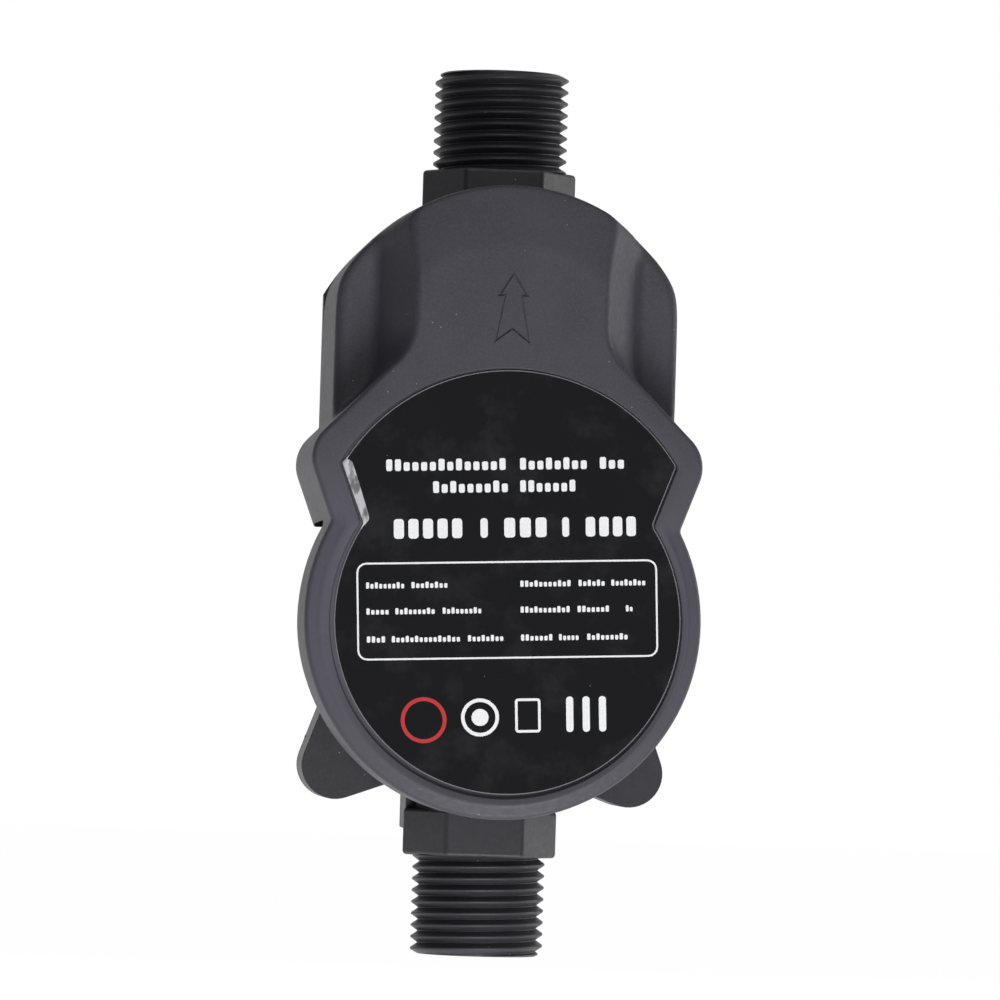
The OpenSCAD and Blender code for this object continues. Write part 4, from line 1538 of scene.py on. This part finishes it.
    def build(self, finish: bpy.types.Material) -> bpy.types.Object:
        """Builds the cover.

        Args:
            finish: its plastic.

        Returns:
            The cover, which stands for the CAD node.
        """
        blank = self._skin()
        blank.thicken(self.wall)
        blank.merge(TOUCH / 2)
        blank.outward()
        blank.carve(self._slot_cutter())
        blank.carve(self._arrow_cutter())
        return blank.piece("front_cover_skin", "cover", finish, ["front_cover"])


# Ports and casing


class End(Enum):
    """Which end of a port is open to the pipe."""

    LOW = "low"
    HIGH = "high"


@dataclass
class PipeThread:
    """A half-inch parallel thread, right-handed, over its bored port.

    Attributes:
        name: the piece's name.
        low: height of the thread's lower end.
        high: height of its upper end.
        end: which end is open to the pipe.
        crest_r: radius of the crests.
        start_turn: where the tooth starts, in degrees.
        root_r: radius of the roots.
        pitch: distance from turn to turn.
        crest_flat: width of the crest's flat.
        root_flat: half width of the root's flat.
        crest_fall: how far the crest's edges fall.
        crest_soft: how far they are softened to either side.
        bore_r: radius of the bore.
        steps: steps of one turn.
        lead: height over which the crests rise at the open end.
        lead_drop: how far below the roots that rise starts.
        rim_slack: how far outside the bore its rim is still looked for.
        sharp: corners above so many degrees stay sharp.
    """

    name: str
    low: float
    high: float
    end: End
    crest_r: float = 10.47
    start_turn: float = 0.0
    root_r: float = 9.3155
    pitch: float = 1.814
    crest_flat: float = 0.26
    root_flat: float = 0.06
    crest_fall: float = 0.05
    crest_soft: float = 0.04
    bore_r: float = 7.5
    steps: int = 72
    lead: float = 0.55
    lead_drop: float = 0.15
    rim_slack: float = 0.05
    sharp: float = 40.0

    def _profile(self, foot: float) -> list[Flat]:
        """One tooth from root to root.

        Args:
            foot: the height that it starts at.

        Returns:
            Its points, as radius and height.
        """
        flank = (self.pitch - self.crest_flat) / 2 - self.root_flat
        rise = self.crest_r - self.root_r
        top = self.root_flat + flank
        half = [
            (self.root_r, 0.0),
            (self.root_r, self.root_flat),
            (self.root_r + rise / 3, self.root_flat + flank / 3),
            (self.root_r + rise * 2 / 3, self.root_flat + flank * 2 / 3),
            (self.crest_r - self.crest_fall, top - self.crest_soft),
            (self.crest_r, top + self.crest_soft),
        ]
        return [(r, foot + z) for r, z in half] + [(r, foot + self.pitch - z) for r, z in reversed(half)]

    def _helix(self, blank: Blank) -> None:
        """Turns the tooth up past both ends of the thread.

        Args:
            blank: the empty blank that takes it.
        """
        turns = math.ceil((self.high - self.low) / self.pitch) + 3
        start = Matrix.Rotation(math.radians(self.start_turn), 3, "Z")
        profile = self._profile(self.low - 2 * self.pitch)
        edges = blank.chain([start @ Vector((r, 0.0, z)) for r, z in profile])
        bmesh.ops.spin(
            blank.bm,
            geom=list(blank.bm.verts) + edges,
            cent=(0, 0, 0),
            axis=(0, 0, 1),
            dvec=(0, 0, self.pitch / self.steps),
            angle=math.radians(360.0 * turns),
            steps=self.steps * turns,
            use_duplicate=False,
            use_merge=False,
        )
        blank.merge(TOUCH)

    def _lead_in(self, blank: Blank) -> None:
        """Tapers the crests at the open end.

        Args:
            blank: the cut thread.
        """
        root = self.root_r - self.lead_drop
        for vert in blank.bm.verts:
            past = vert.co.z - self.low if self.end is End.LOW else self.high - vert.co.z
            far = math.hypot(vert.co.x, vert.co.y)
            limit = root + (self.crest_r - root) * past / self.lead
            if past < self.lead and far > limit > 1.0:
                vert.co.x *= limit / far
                vert.co.y *= limit / far

    def build(self, finish: bpy.types.Material) -> bpy.types.Object:
        """Cuts the thread.

        Args:
            finish: the casing's plastic.

        Returns:
            The port's thread with its bore.
        """
        blank = Blank()
        self._helix(blank)
        blank.cut_off(self.low, above=False, bore=self.bore_r)
        blank.cut_off(self.high, above=True, bore=self.bore_r)
        rims = blank.open_edges(lambda p: math.hypot(p.x, p.y) < self.bore_r + self.rim_slack)
        bmesh.ops.bridge_loops(blank.bm, edges=rims)
        blank.outward()
        self._lead_in(blank)
        blank.merge(TOUCH / 2)
        return blank.piece(self.name, "casing", finish, ["pump_body"], self.sharp)


@dataclass
class Collar:
    """A port's hexagon collar with rounded corners, bored through."""

    name: str
    low: float
    high: float
    corner_r: float = 12.144
    bore_r: float = 7.5
    soft: float = 0.6
    overrun: float = 1.0

    def build(self, finish: bpy.types.Material) -> bpy.types.Object:
        """Builds the collar.

        Args:
            finish: the casing's plastic.

        Returns:
            The collar.
        """
        blank = Blank()
        blank.hexagon(self.corner_r, self.low, self.high)
        blank.soften(blank.bm.edges, self.soft)
        core = Blank()
        bmesh.ops.create_cone(
            core.bm,
            cap_ends=True,
            segments=ROUND_STEPS,
            radius1=self.bore_r,
            radius2=self.bore_r,
            depth=self.high - self.low + 2 * self.overrun,
            matrix=Matrix.Translation((0, 0, (self.low + self.high) / 2)),
        )
        blank.carve(core)
        return blank.piece(self.name, "casing", finish, ["pump_body"])


@dataclass
class Ports:
    """Both ports: the inlet below, the outlet above, each with its thread and its collar."""

    length: float = 138.0
    thread_len: float = 15.4
    collar_h: float = 7.3
    inlet_crest_r: float = 10.34
    inlet_turn: float = 200.0
    outlet_turn: float = 150.0

    def build(self, finish: bpy.types.Material) -> None:
        """Builds the threads and the collars.

        Args:
            finish: the casing's plastic.
        """
        low, high = self.thread_len, self.length - self.thread_len
        PipeThread("inlet_port", 0.0, low, End.LOW, self.inlet_crest_r, self.inlet_turn).build(finish)
        PipeThread("outlet_port", high, self.length, End.HIGH, start_turn=self.outlet_turn).build(finish)
        Collar("inlet_collar", low, low + self.collar_h).build(finish)
        Collar("outlet_collar", high - self.collar_h, high).build(finish)


@dataclass
class Casing:
    """The black pump body between the two collars: chamber, lugs and neck.

    Attributes:
        low: height at which the CAD copy is cut off below.
        high: height at which it is cut off above.
        collar_top: top of what is left of the plain lower collar.
        corner_reach: distances from the axis between which that collar's corners lie.
        corner_y: how far in front and behind they lie at most.
        tuck_share: how far they are drawn in, under the rounded collar.
        soft_reach: heights between which edges are rounded.
        soft_front_y: edges in front of this y stay as they are.
        drum_z: height of the drum's centre.
        drum_clear: edges nearer to that centre stay as they are.
        edge_soft: radius of the rounded edges.
        corner_angle: only corners above so many degrees are rounded.
    """

    low: float = 19.0
    high: float = 115.3
    collar_top: float = 22.75
    corner_reach: Flat = (11.9, 12.2)
    corner_y: float = 10.6
    tuck_share: float = 0.92
    soft_reach: Flat = (23.0, 114.0)
    soft_front_y: float = -14.4
    drum_z: float = 52.0
    drum_clear: float = 26.0
    edge_soft: float = 0.3
    corner_angle: float = 40.0

    def _tucks(self, p: Vector) -> bool:
        """Whether a point is a corner of the plain collar that the rounded one covers.

        Args:
            p: the point.

        Returns:
            Whether it is drawn in.
        """
        on_corner = self.corner_reach[0] < math.hypot(p.x, p.y) < self.corner_reach[1]
        return on_corner and p.z < self.collar_top and abs(p.y) < self.corner_y

    def _softens(self, p: Vector) -> bool:
        """Whether an edge is rounded.

        Args:
            p: the edge's middle.

        Returns:
            Whether it is.
        """
        between_collars = self.soft_reach[0] < p.z < self.soft_reach[1]
        beside_drum = math.hypot(p.x, p.z - self.drum_z) > self.drum_clear
        return between_collars and beside_drum and p.y > self.soft_front_y

    def build(self, node: bpy.types.Object, finish: bpy.types.Material) -> bpy.types.Object:
        """Rounds a copy of the CAD solid.

        Args:
            node: the CAD node.
            finish: its plastic.

        Returns:
            The casing without its threads and collars.
        """
        blank = Blank.of_node(node)
        blank.cut_off(self.low, above=False)
        blank.cut_off(self.high, above=True)
        blank.outward()
        corners = [vert for vert in blank.bm.verts if self._tucks(vert.co)]
        bmesh.ops.scale(blank.bm, vec=(self.tuck_share, self.tuck_share, 1.0), verts=corners)
        blank.soften(blank.sharp_edges(self.corner_angle, self._softens), self.edge_soft, 2)
        return blank.piece("pump_casing", "casing", finish, ["pump_body"])


@dataclass
class RearCover:
    """The rear moulding, with the edges behind its seam rounded."""

    soft: float = 0.45
    seam_y: float = 11.0
    corner_angle: float = 40.0

    def build(self, node: bpy.types.Object, finish: bpy.types.Material) -> bpy.types.Object:
        """Rounds a copy of the CAD solid.

        Args:
            node: the CAD node.
            finish: its plastic.

        Returns:
            The rear cover.
        """
        blank = Blank.of_node(node)
        blank.soften(blank.sharp_edges(self.corner_angle, lambda p: p.y > self.seam_y), self.soft)
        return blank.piece("rear_moulding", "rear", finish, ["rear_cover"])


# The label


def facing(middle: Flat) -> Matrix:
    """The place of a flat shape that faces the front, by its middle's x and z."""
    return Matrix.Translation((middle[0], 0.0, middle[1])) @ Matrix.Rotation(math.radians(90.0), 4, "X")


def ink_face(blank: Blank, face: bmesh.types.BMFace, line_width: float | None, ink: float = 0.03) -> None:
    """Turns a face into a thin printed shape.

    Args:
        blank: the print so far.
        face: the shape's face.
        line_width: keeps only an outline of this width, if given.
        ink: the ink's thickness.
    """
    faces = [face]
    if line_width:
        ring = bmesh.ops.inset_region(
            blank.bm, faces=[face], thickness=line_width, use_even_offset=True, use_boundary=True
        )
        bmesh.ops.delete(blank.bm, geom=[face], context="FACES_ONLY")
        faces = ring["faces"]
    blank.push(faces, (0, -ink, 0))


@dataclass(frozen=True)
class Bar:
    """A printed bar with round corners, or only its outline."""

    middle: Flat
    size: Flat
    corner: float
    line_width: float | None = None
    corner_share: float = 0.49

    def draw(self, blank: Blank) -> None:
        """Prints the bar.

        Args:
            blank: the print so far.
        """
        place = facing(self.middle) @ Matrix.Diagonal((*self.size, 1.0, 1.0))
        made = bmesh.ops.create_grid(blank.bm, x_segments=1, y_segments=1, size=0.5, matrix=place)
        bmesh.ops.bevel(
            blank.bm,
            geom=made["verts"],
            offset=min(self.corner, self.corner_share * min(self.size)),
            offset_type="OFFSET",
            affect="VERTICES",
            segments=4,
            profile=0.5,
            material=-1,
        )
        ink_face(blank, [f for f in blank.bm.faces if f.is_valid][-1], self.line_width)


@dataclass(frozen=True)
class Disc:
    """A printed disc, or only its ring."""

    middle: Flat
    radius: float
    line_width: float | None = None

    def draw(self, blank: Blank) -> None:
        """Prints the disc.

        Args:
            blank: the print so far.
        """
        place = facing(self.middle)
        bmesh.ops.create_circle(blank.bm, cap_ends=True, segments=48, radius=self.radius, matrix=place)
        blank.bm.faces.ensure_lookup_table()
        ink_face(blank, blank.bm.faces[-1], self.line_width)


@dataclass(frozen=True)
class BlockLine:
    """A line of small blocks that stands for a line of text.

    Attributes:
        z: the line's middle height.
        tall: height of its tall blocks.
        words: where each word starts and ends.
        step_share: a block's step, as a share of the height.
        wide_share: a block's width, as a share of its step.
        low_share: height of the low blocks, as a share of the tall ones'.
        corner_share: corner radius, as a share of the height.
        big: a line taller than this has tall blocks only.
    """

    z: float
    tall: float
    words: tuple[Flat, ...]
    step_share: float = 0.74
    wide_share: float = 0.7
    low_share: float = 0.74
    corner_share: float = 0.16
    big: float = 2.5

    def draw(self, blank: Blank) -> None:
        """Prints each word from where it starts to where it ends.

        Args:
            blank: the print so far.
        """
        for start, stop in self.words:
            count = max(1, round((stop - start) / (self.tall * self.step_share)))
            step = (stop - start) / count
            for i in range(count):
                full = self.tall > self.big or i == 0 or (i * 5 + count) % 7 in (2, 5)
                height = self.tall * (1.0 if full else self.low_share)
                middle = (start + (i + 0.5) * step, self.z + (height - self.tall) / 2)
                Bar(middle, (step * self.wide_share, height), self.tall * self.corner_share).draw(blank)


TITLE = (
    BlockLine(22.2, 1.8, ((-18.4, 0.2), (2.0, 12.6), (14.2, 18.3))),
    BlockLine(18.8, 1.8, ((-11.3, 0.5), (2.0, 10.8))),
    BlockLine(12.5, 3.0, ((-17.5, -6.4), (-4.2, -2.6), (-0.7, 6.5), (8.3, 9.8), (11.8, 20.1))),
)
TABLE = (
    BlockLine(3.95, 0.95, ((-21.6, -15.6), (-14.7, -9.0), (1.9, 9.8), (10.8, 15.0), (15.8, 21.2))),
    BlockLine(
        0.0, 0.95, ((-21.6, -18.0), (-17.2, -11.0), (-10.0, -3.9), (1.9, 9.6), (10.6, 15.6), (18.0, 19.2))
    ),
    BlockLine(
        -4.25, 0.95, ((-21.6, -18.6), (-17.8, -7.2), (-6.2, -0.6), (1.9, 6.9), (7.7, 10.9), (12.0, 18.4))
    ),
)
TABLE_FRAME = Bar((0.0, 0.0), (45.9, 14.85), 1.5, 0.28)
WHITE_MARKS = (
    Disc((-4.4, -16.3), 2.9, 0.55),
    Disc((-4.4, -16.3), 1.3),
    Bar((2.9, -16.1), (3.9, 5.2), 0.5, 0.4),
    *(Bar((9.3 + 2.5 * k, -16.0), (1.1, 5.4), 0.5) for k in range(3)),
)
RED_MARKS = (Disc((-13.0, -16.6), 3.5, 0.6),)


@dataclass
class Label:
    """The gloss label, its cut edge, its lifted left edge and its generic print.

    Attributes:
        lines: the cover's outlines.
        floor_y: the recess's floor.
        film: thickness of the film.
        film_soft: radius of its front edge.
        gap: how far inside the recess it ends.
        shift: how far it lies off the recess's middle.
        cut_reach: the pale line's inset from that end, outside and inside.
        cut_rise: how far the pale line stands proud.
        cut_wall: its thickness.
        print_hub: middle of the framed table.
        print_tilt: how many degrees the print is turned.
        print_sink: how far the print is let into the film.
        curl_rows: rows across the lifted strip, each as reach inwards and rise.
        curl_rise: how far the strip stands proud at its ends.
        curl_wall: its thickness.
        edge_angle: only corners above so many degrees are rounded.
    """

    lines: CoverLines = field(default_factory=CoverLines)
    floor_y: float = -34.5
    film: float = 0.25
    film_soft: float = 0.07
    gap: float = 0.45
    shift: Flat = (0.27, 0.2)
    cut_reach: Flat = (-0.03, 0.12)
    cut_rise: float = 0.012
    cut_wall: float = 0.02
    print_hub: Flat = (0.6, 53.7)
    print_tilt: float = 2.5
    print_sink: float = 0.01
    curl_rows: tuple[Flat, ...] = ((-0.5, 0.05), (-0.15, 0.16), (0.55, 0.18), (1.1, 0.02))
    curl_rise: float = 0.005
    curl_wall: float = 0.04
    edge_angle: float = 60.0

    def _outline(self, inset: float) -> list[Flat]:
        """The film's outline as a ring, laid off the middle of the recess as the real one is."""
        return [(x + self.shift[0], z + self.shift[1]) for x, z in self.lines.recess_ring(inset)]

    def build_film(self, finish: bpy.types.Material) -> bpy.types.Object:
        """Builds the film itself.

        Args:
            finish: its gloss.

        Returns:
            The film, which stands for the CAD node.
        """
        blank = Blank()
        blank.chain([(x, self.floor_y, z) for x, z in self._outline(self.gap)], closed=True)
        blank.merge(3 * TOUCH)
        bmesh.ops.contextual_create(blank.bm, geom=list(blank.bm.edges))
        blank.push(blank.bm.faces, (0, -self.film, 0))
        blank.outward()
        front_y = self.floor_y - self.film
        front = blank.sharp_edges(self.edge_angle, lambda p: p.y < front_y + self.film_soft / 2)
        blank.soften(front, self.film_soft, 2)
        return blank.piece("label_film", "label", finish, ["label_plate"])

    def build_edge(self, finish: bpy.types.Material) -> bpy.types.Object:
        """Builds the pale cut edge of the film, a thin line round the label.

        Args:
            finish: its grey.

        Returns:
            The line.
        """
        blank = Blank()
        top = self.floor_y - self.film - self.cut_rise
        rows = [self._outline(self.gap + reach) for reach in self.cut_reach]
        blank.loft([[(x, top, z) for x, z in row] for row in rows], closed=True)
        blank.thicken(self.cut_wall)
        blank.outward()
        return blank.piece("label_edge", "label", finish)

    def _printed(
        self, name: str, shapes: Iterable[Bar | Disc | BlockLine], finish: bpy.types.Material
    ) -> bpy.types.Object:
        """Prints shapes, turns them by the print's tilt and lays them on the film.

        Args:
            name: the piece's name.
            shapes: what is printed.
            finish: the ink.

        Returns:
            The print.
        """
        blank = Blank()
        for shape in shapes:
            shape.draw(blank)
        top = self.floor_y - self.film + self.print_sink
        place = Matrix.Translation((self.print_hub[0], top, self.print_hub[1]))
        tilt = Matrix.Rotation(-math.radians(self.print_tilt), 4, "Y")
        bmesh.ops.transform(blank.bm, matrix=place @ tilt, verts=blank.bm.verts)
        blank.outward()
        return blank.piece(name, "label", finish)

    def build_print(self, white: bpy.types.Material, red: bpy.types.Material) -> None:
        """Prints a title, a big line, a framed table and four plain marks, without any letter.

        Args:
            white: the white ink.
            red: the red ink.
        """
        self._printed("label_print", (TABLE_FRAME, *TITLE, *TABLE, *WHITE_MARKS), white)
        self._printed("label_ring", RED_MARKS, red)

    def build_curl(self, finish: bpy.types.Material) -> bpy.types.Object:
        """Builds the silver underside that shows where the film's left edge has lifted.

        Args:
            finish: the film's back.

        Returns:
            The lifted strip.
        """
        start, stop = self.lines.first(Run.NOTCH) - 1, self.lines.first(Run.SLANT) + 2
        run = self.lines.recess(self.gap, -1)[start:stop]
        top = self.floor_y - self.film - self.curl_rise
        swells = [math.sin(math.pi * i / (len(run) - 1)) for i in range(len(run))]
        rows = [
            [
                (self.shift[0] - x + inward * swell, top - lift * swell, z + self.shift[1])
                for (x, z), swell in zip(run, swells)
            ]
            for inward, lift in self.curl_rows
        ]
        blank = Blank()
        blank.loft(rows)
        blank.merge(TOUCH)
        blank.outward()
        if sum(f.normal.y for f in blank.bm.faces) > 0:
            blank.flip()
        blank.thicken(self.curl_wall)
        blank.outward()
        return blank.piece("label_curl", "label", finish)

    def build(self, film: bpy.types.Material) -> None:
        """Builds the film, the print, the cut edge and the lifted strip.

        Args:
            film: the film's gloss.
        """
        self.build_film(film)
        white = Print("white_ink", (0.96, 0.96, 0.97)).material()
        red = Print("red_ink", (0.55, 0.03, 0.03)).material()
        self.build_print(white, red)
        self.build_edge(Print("cut_edge", (0.2, 0.2, 0.21)).material())
        self.build_curl(Foil("film_back", (0.62, 0.62, 0.64)).material())


# Studio, in metres


@dataclass(frozen=True)
class Lamp:
    """One soft rectangular lamp, with its power in watts."""

    name: str
    place: Point
    size: Flat
    power: float
    aim: Point = (0.0, 0.0, 0.07)

    def hang(self) -> None:
        """Hangs the lamp and points it at its aim."""
        data = bpy.data.lights.new(self.name, "AREA")
        data.shape = "RECTANGLE"
        data.size, data.size_y = self.size
        data.energy = self.power
        made = bpy.data.objects.new(self.name, data)
        made.location = self.place
        made.rotation_euler = (Vector(self.aim) - Vector(self.place)).to_track_quat("-Z", "Y").to_euler()
        bpy.context.scene.collection.objects.link(made)


@dataclass
class Studio:
    """The floor, the lamps, the world and the camera."""

    eye: Point = (-0.090, -1.180, 0.041)
    aim: Point = (0.00165, 0.0, 0.07126)
    roll: float = 1.74
    lens: float = 271.9
    sensor: float = 36.0
    farthest: float = 20.0
    world_level: float = 0.15
    world_turn: Flat = (0.5, 0.95)
    floor_size: Flat = (2.0, 1.0)
    floor_middle: Point = (0.0, 0.45, -0.0002)
    floor_grey: Colour = (0.86, 0.86, 0.86)
    floor_shown: float = 0.99
    lamps: tuple[Lamp, ...] = (
        Lamp("right_side", (0.95, 0.3, 0.15), (0.5, 0.6), 2.9),
        Lamp("low_front", (0.12, -1.0, -0.76), (0.8, 0.6), 15.3),
        Lamp("high_front", (0.1, -1.05, 0.6), (0.6, 0.35), 1.7),
        Lamp("over", (0.1, -0.3, 0.9), (0.7, 0.4), 1.2),
    )

    def _camera(self) -> None:
        """Sets up the camera where the photo's stood."""
        data = bpy.data.cameras.new("photo_camera")
        data.sensor_width = self.sensor
        data.lens = self.lens
        data.clip_end = self.farthest
        camera = bpy.data.objects.new("photo_camera", data)
        camera.location = self.eye
        look = (Vector(self.aim) - Vector(self.eye)).to_track_quat("-Z", "Y")
        camera.rotation_mode = "QUATERNION"
        camera.rotation_quaternion = look @ Quaternion((0.0, 0.0, 1.0), math.radians(self.roll))
        bpy.context.scene.collection.objects.link(camera)
        bpy.context.scene.camera = camera

    def _world(self) -> None:
        """Sets up a world that is dim in front, white behind the object, and white to the camera."""
        world = bpy.data.worlds.new("soft_studio")
        bpy.context.scene.world = world
        world.use_nodes = True
        g = Graph(world.node_tree, "ShaderNodeOutputWorld")
        behind = g.span(g.axis(1, "Generated"), *self.world_turn, self.world_level, 1.0)
        level = behind.at_least(g.node("ShaderNodeLightPath", out="Is Camera Ray"))
        back = g.node("ShaderNodeBackground", {}, {"Color": WHITE, "Strength": level})
        g.feed(g.output.inputs["Surface"], back)

    def _floor_white(self) -> bpy.types.Material:
        """A matte white that the camera and reflections see as nearly pure white.

        Returns:
            The floor's material.
        """
        g = Surface("floor_white")
        g.finish(base_color=self.floor_grey, roughness=0.9, specular_ior_level=0.0)
        kinds = ("Is Camera Ray", "Is Glossy Ray", "Is Transmission Ray")
        camera, glossy, through = [g.node("ShaderNodeLightPath", out=kind) for kind in kinds]
        share = (camera + glossy + through).clipped() * self.floor_shown
        glow = g.node("ShaderNodeEmission", {}, {"Color": WHITE, "Strength": 1.0})
        body = Signal(g, g.shader.outputs[0])
        g.feed(g.output.inputs["Surface"], g.node("ShaderNodeMixShader", {}, {0: share, 1: body, 2: glow}))
        return g.material

    def _floor(self) -> None:
        """Lays the floor, which throws no shadow."""
        bm = bmesh.new()
        bmesh.ops.create_grid(bm, x_segments=8, y_segments=8, size=0.5, matrix=Matrix.Identity(4))
        bmesh.ops.scale(bm, vec=(*self.floor_size, 1.0), verts=bm.verts)
        bmesh.ops.translate(bm, vec=self.floor_middle, verts=bm.verts)
        mesh = bpy.data.meshes.new("floor")
        bm.to_mesh(mesh)
        bm.free()
        mesh.materials.append(self._floor_white())
        made = bpy.data.objects.new("floor", mesh)
        made.visible_shadow = False
        bpy.context.scene.collection.objects.link(made)

    def build(self) -> None:
        """Sets up the stage."""
        bpy.context.scene.view_settings.view_transform = "Standard"
        self._camera()
        self._world()
        self._floor()
        for lamp in self.lamps:
            lamp.hang()


# The whole


def main() -> None:
    """Loads the frame, builds the pieces in order and dresses the carried-over nodes."""
    logging.basicConfig(level=logging.INFO, format="%(name)s: %(message)s")
    for spare in list(bpy.data.objects):
        bpy.data.objects.remove(spare)
    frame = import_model()
    nodes = frame["nodes"]
    Studio().build()
    look = {slot: finish.material() for slot, finish in finishes().items()}
    FrontCover().build(look["cover"])
    Ports().build(look["casing"])
    Casing().build(nodes["pump_body"], look["casing"])
    RearCover().build(nodes["rear_cover"], look["rear"])
    Label().build(look["label"])
    for row in frame["record"]["subparts"]:
        node = nodes[row["node"]]
        for holder in node.material_slots:
            holder.material = look[row["material_slot"]]


if __name__ == "__main__":
    main()
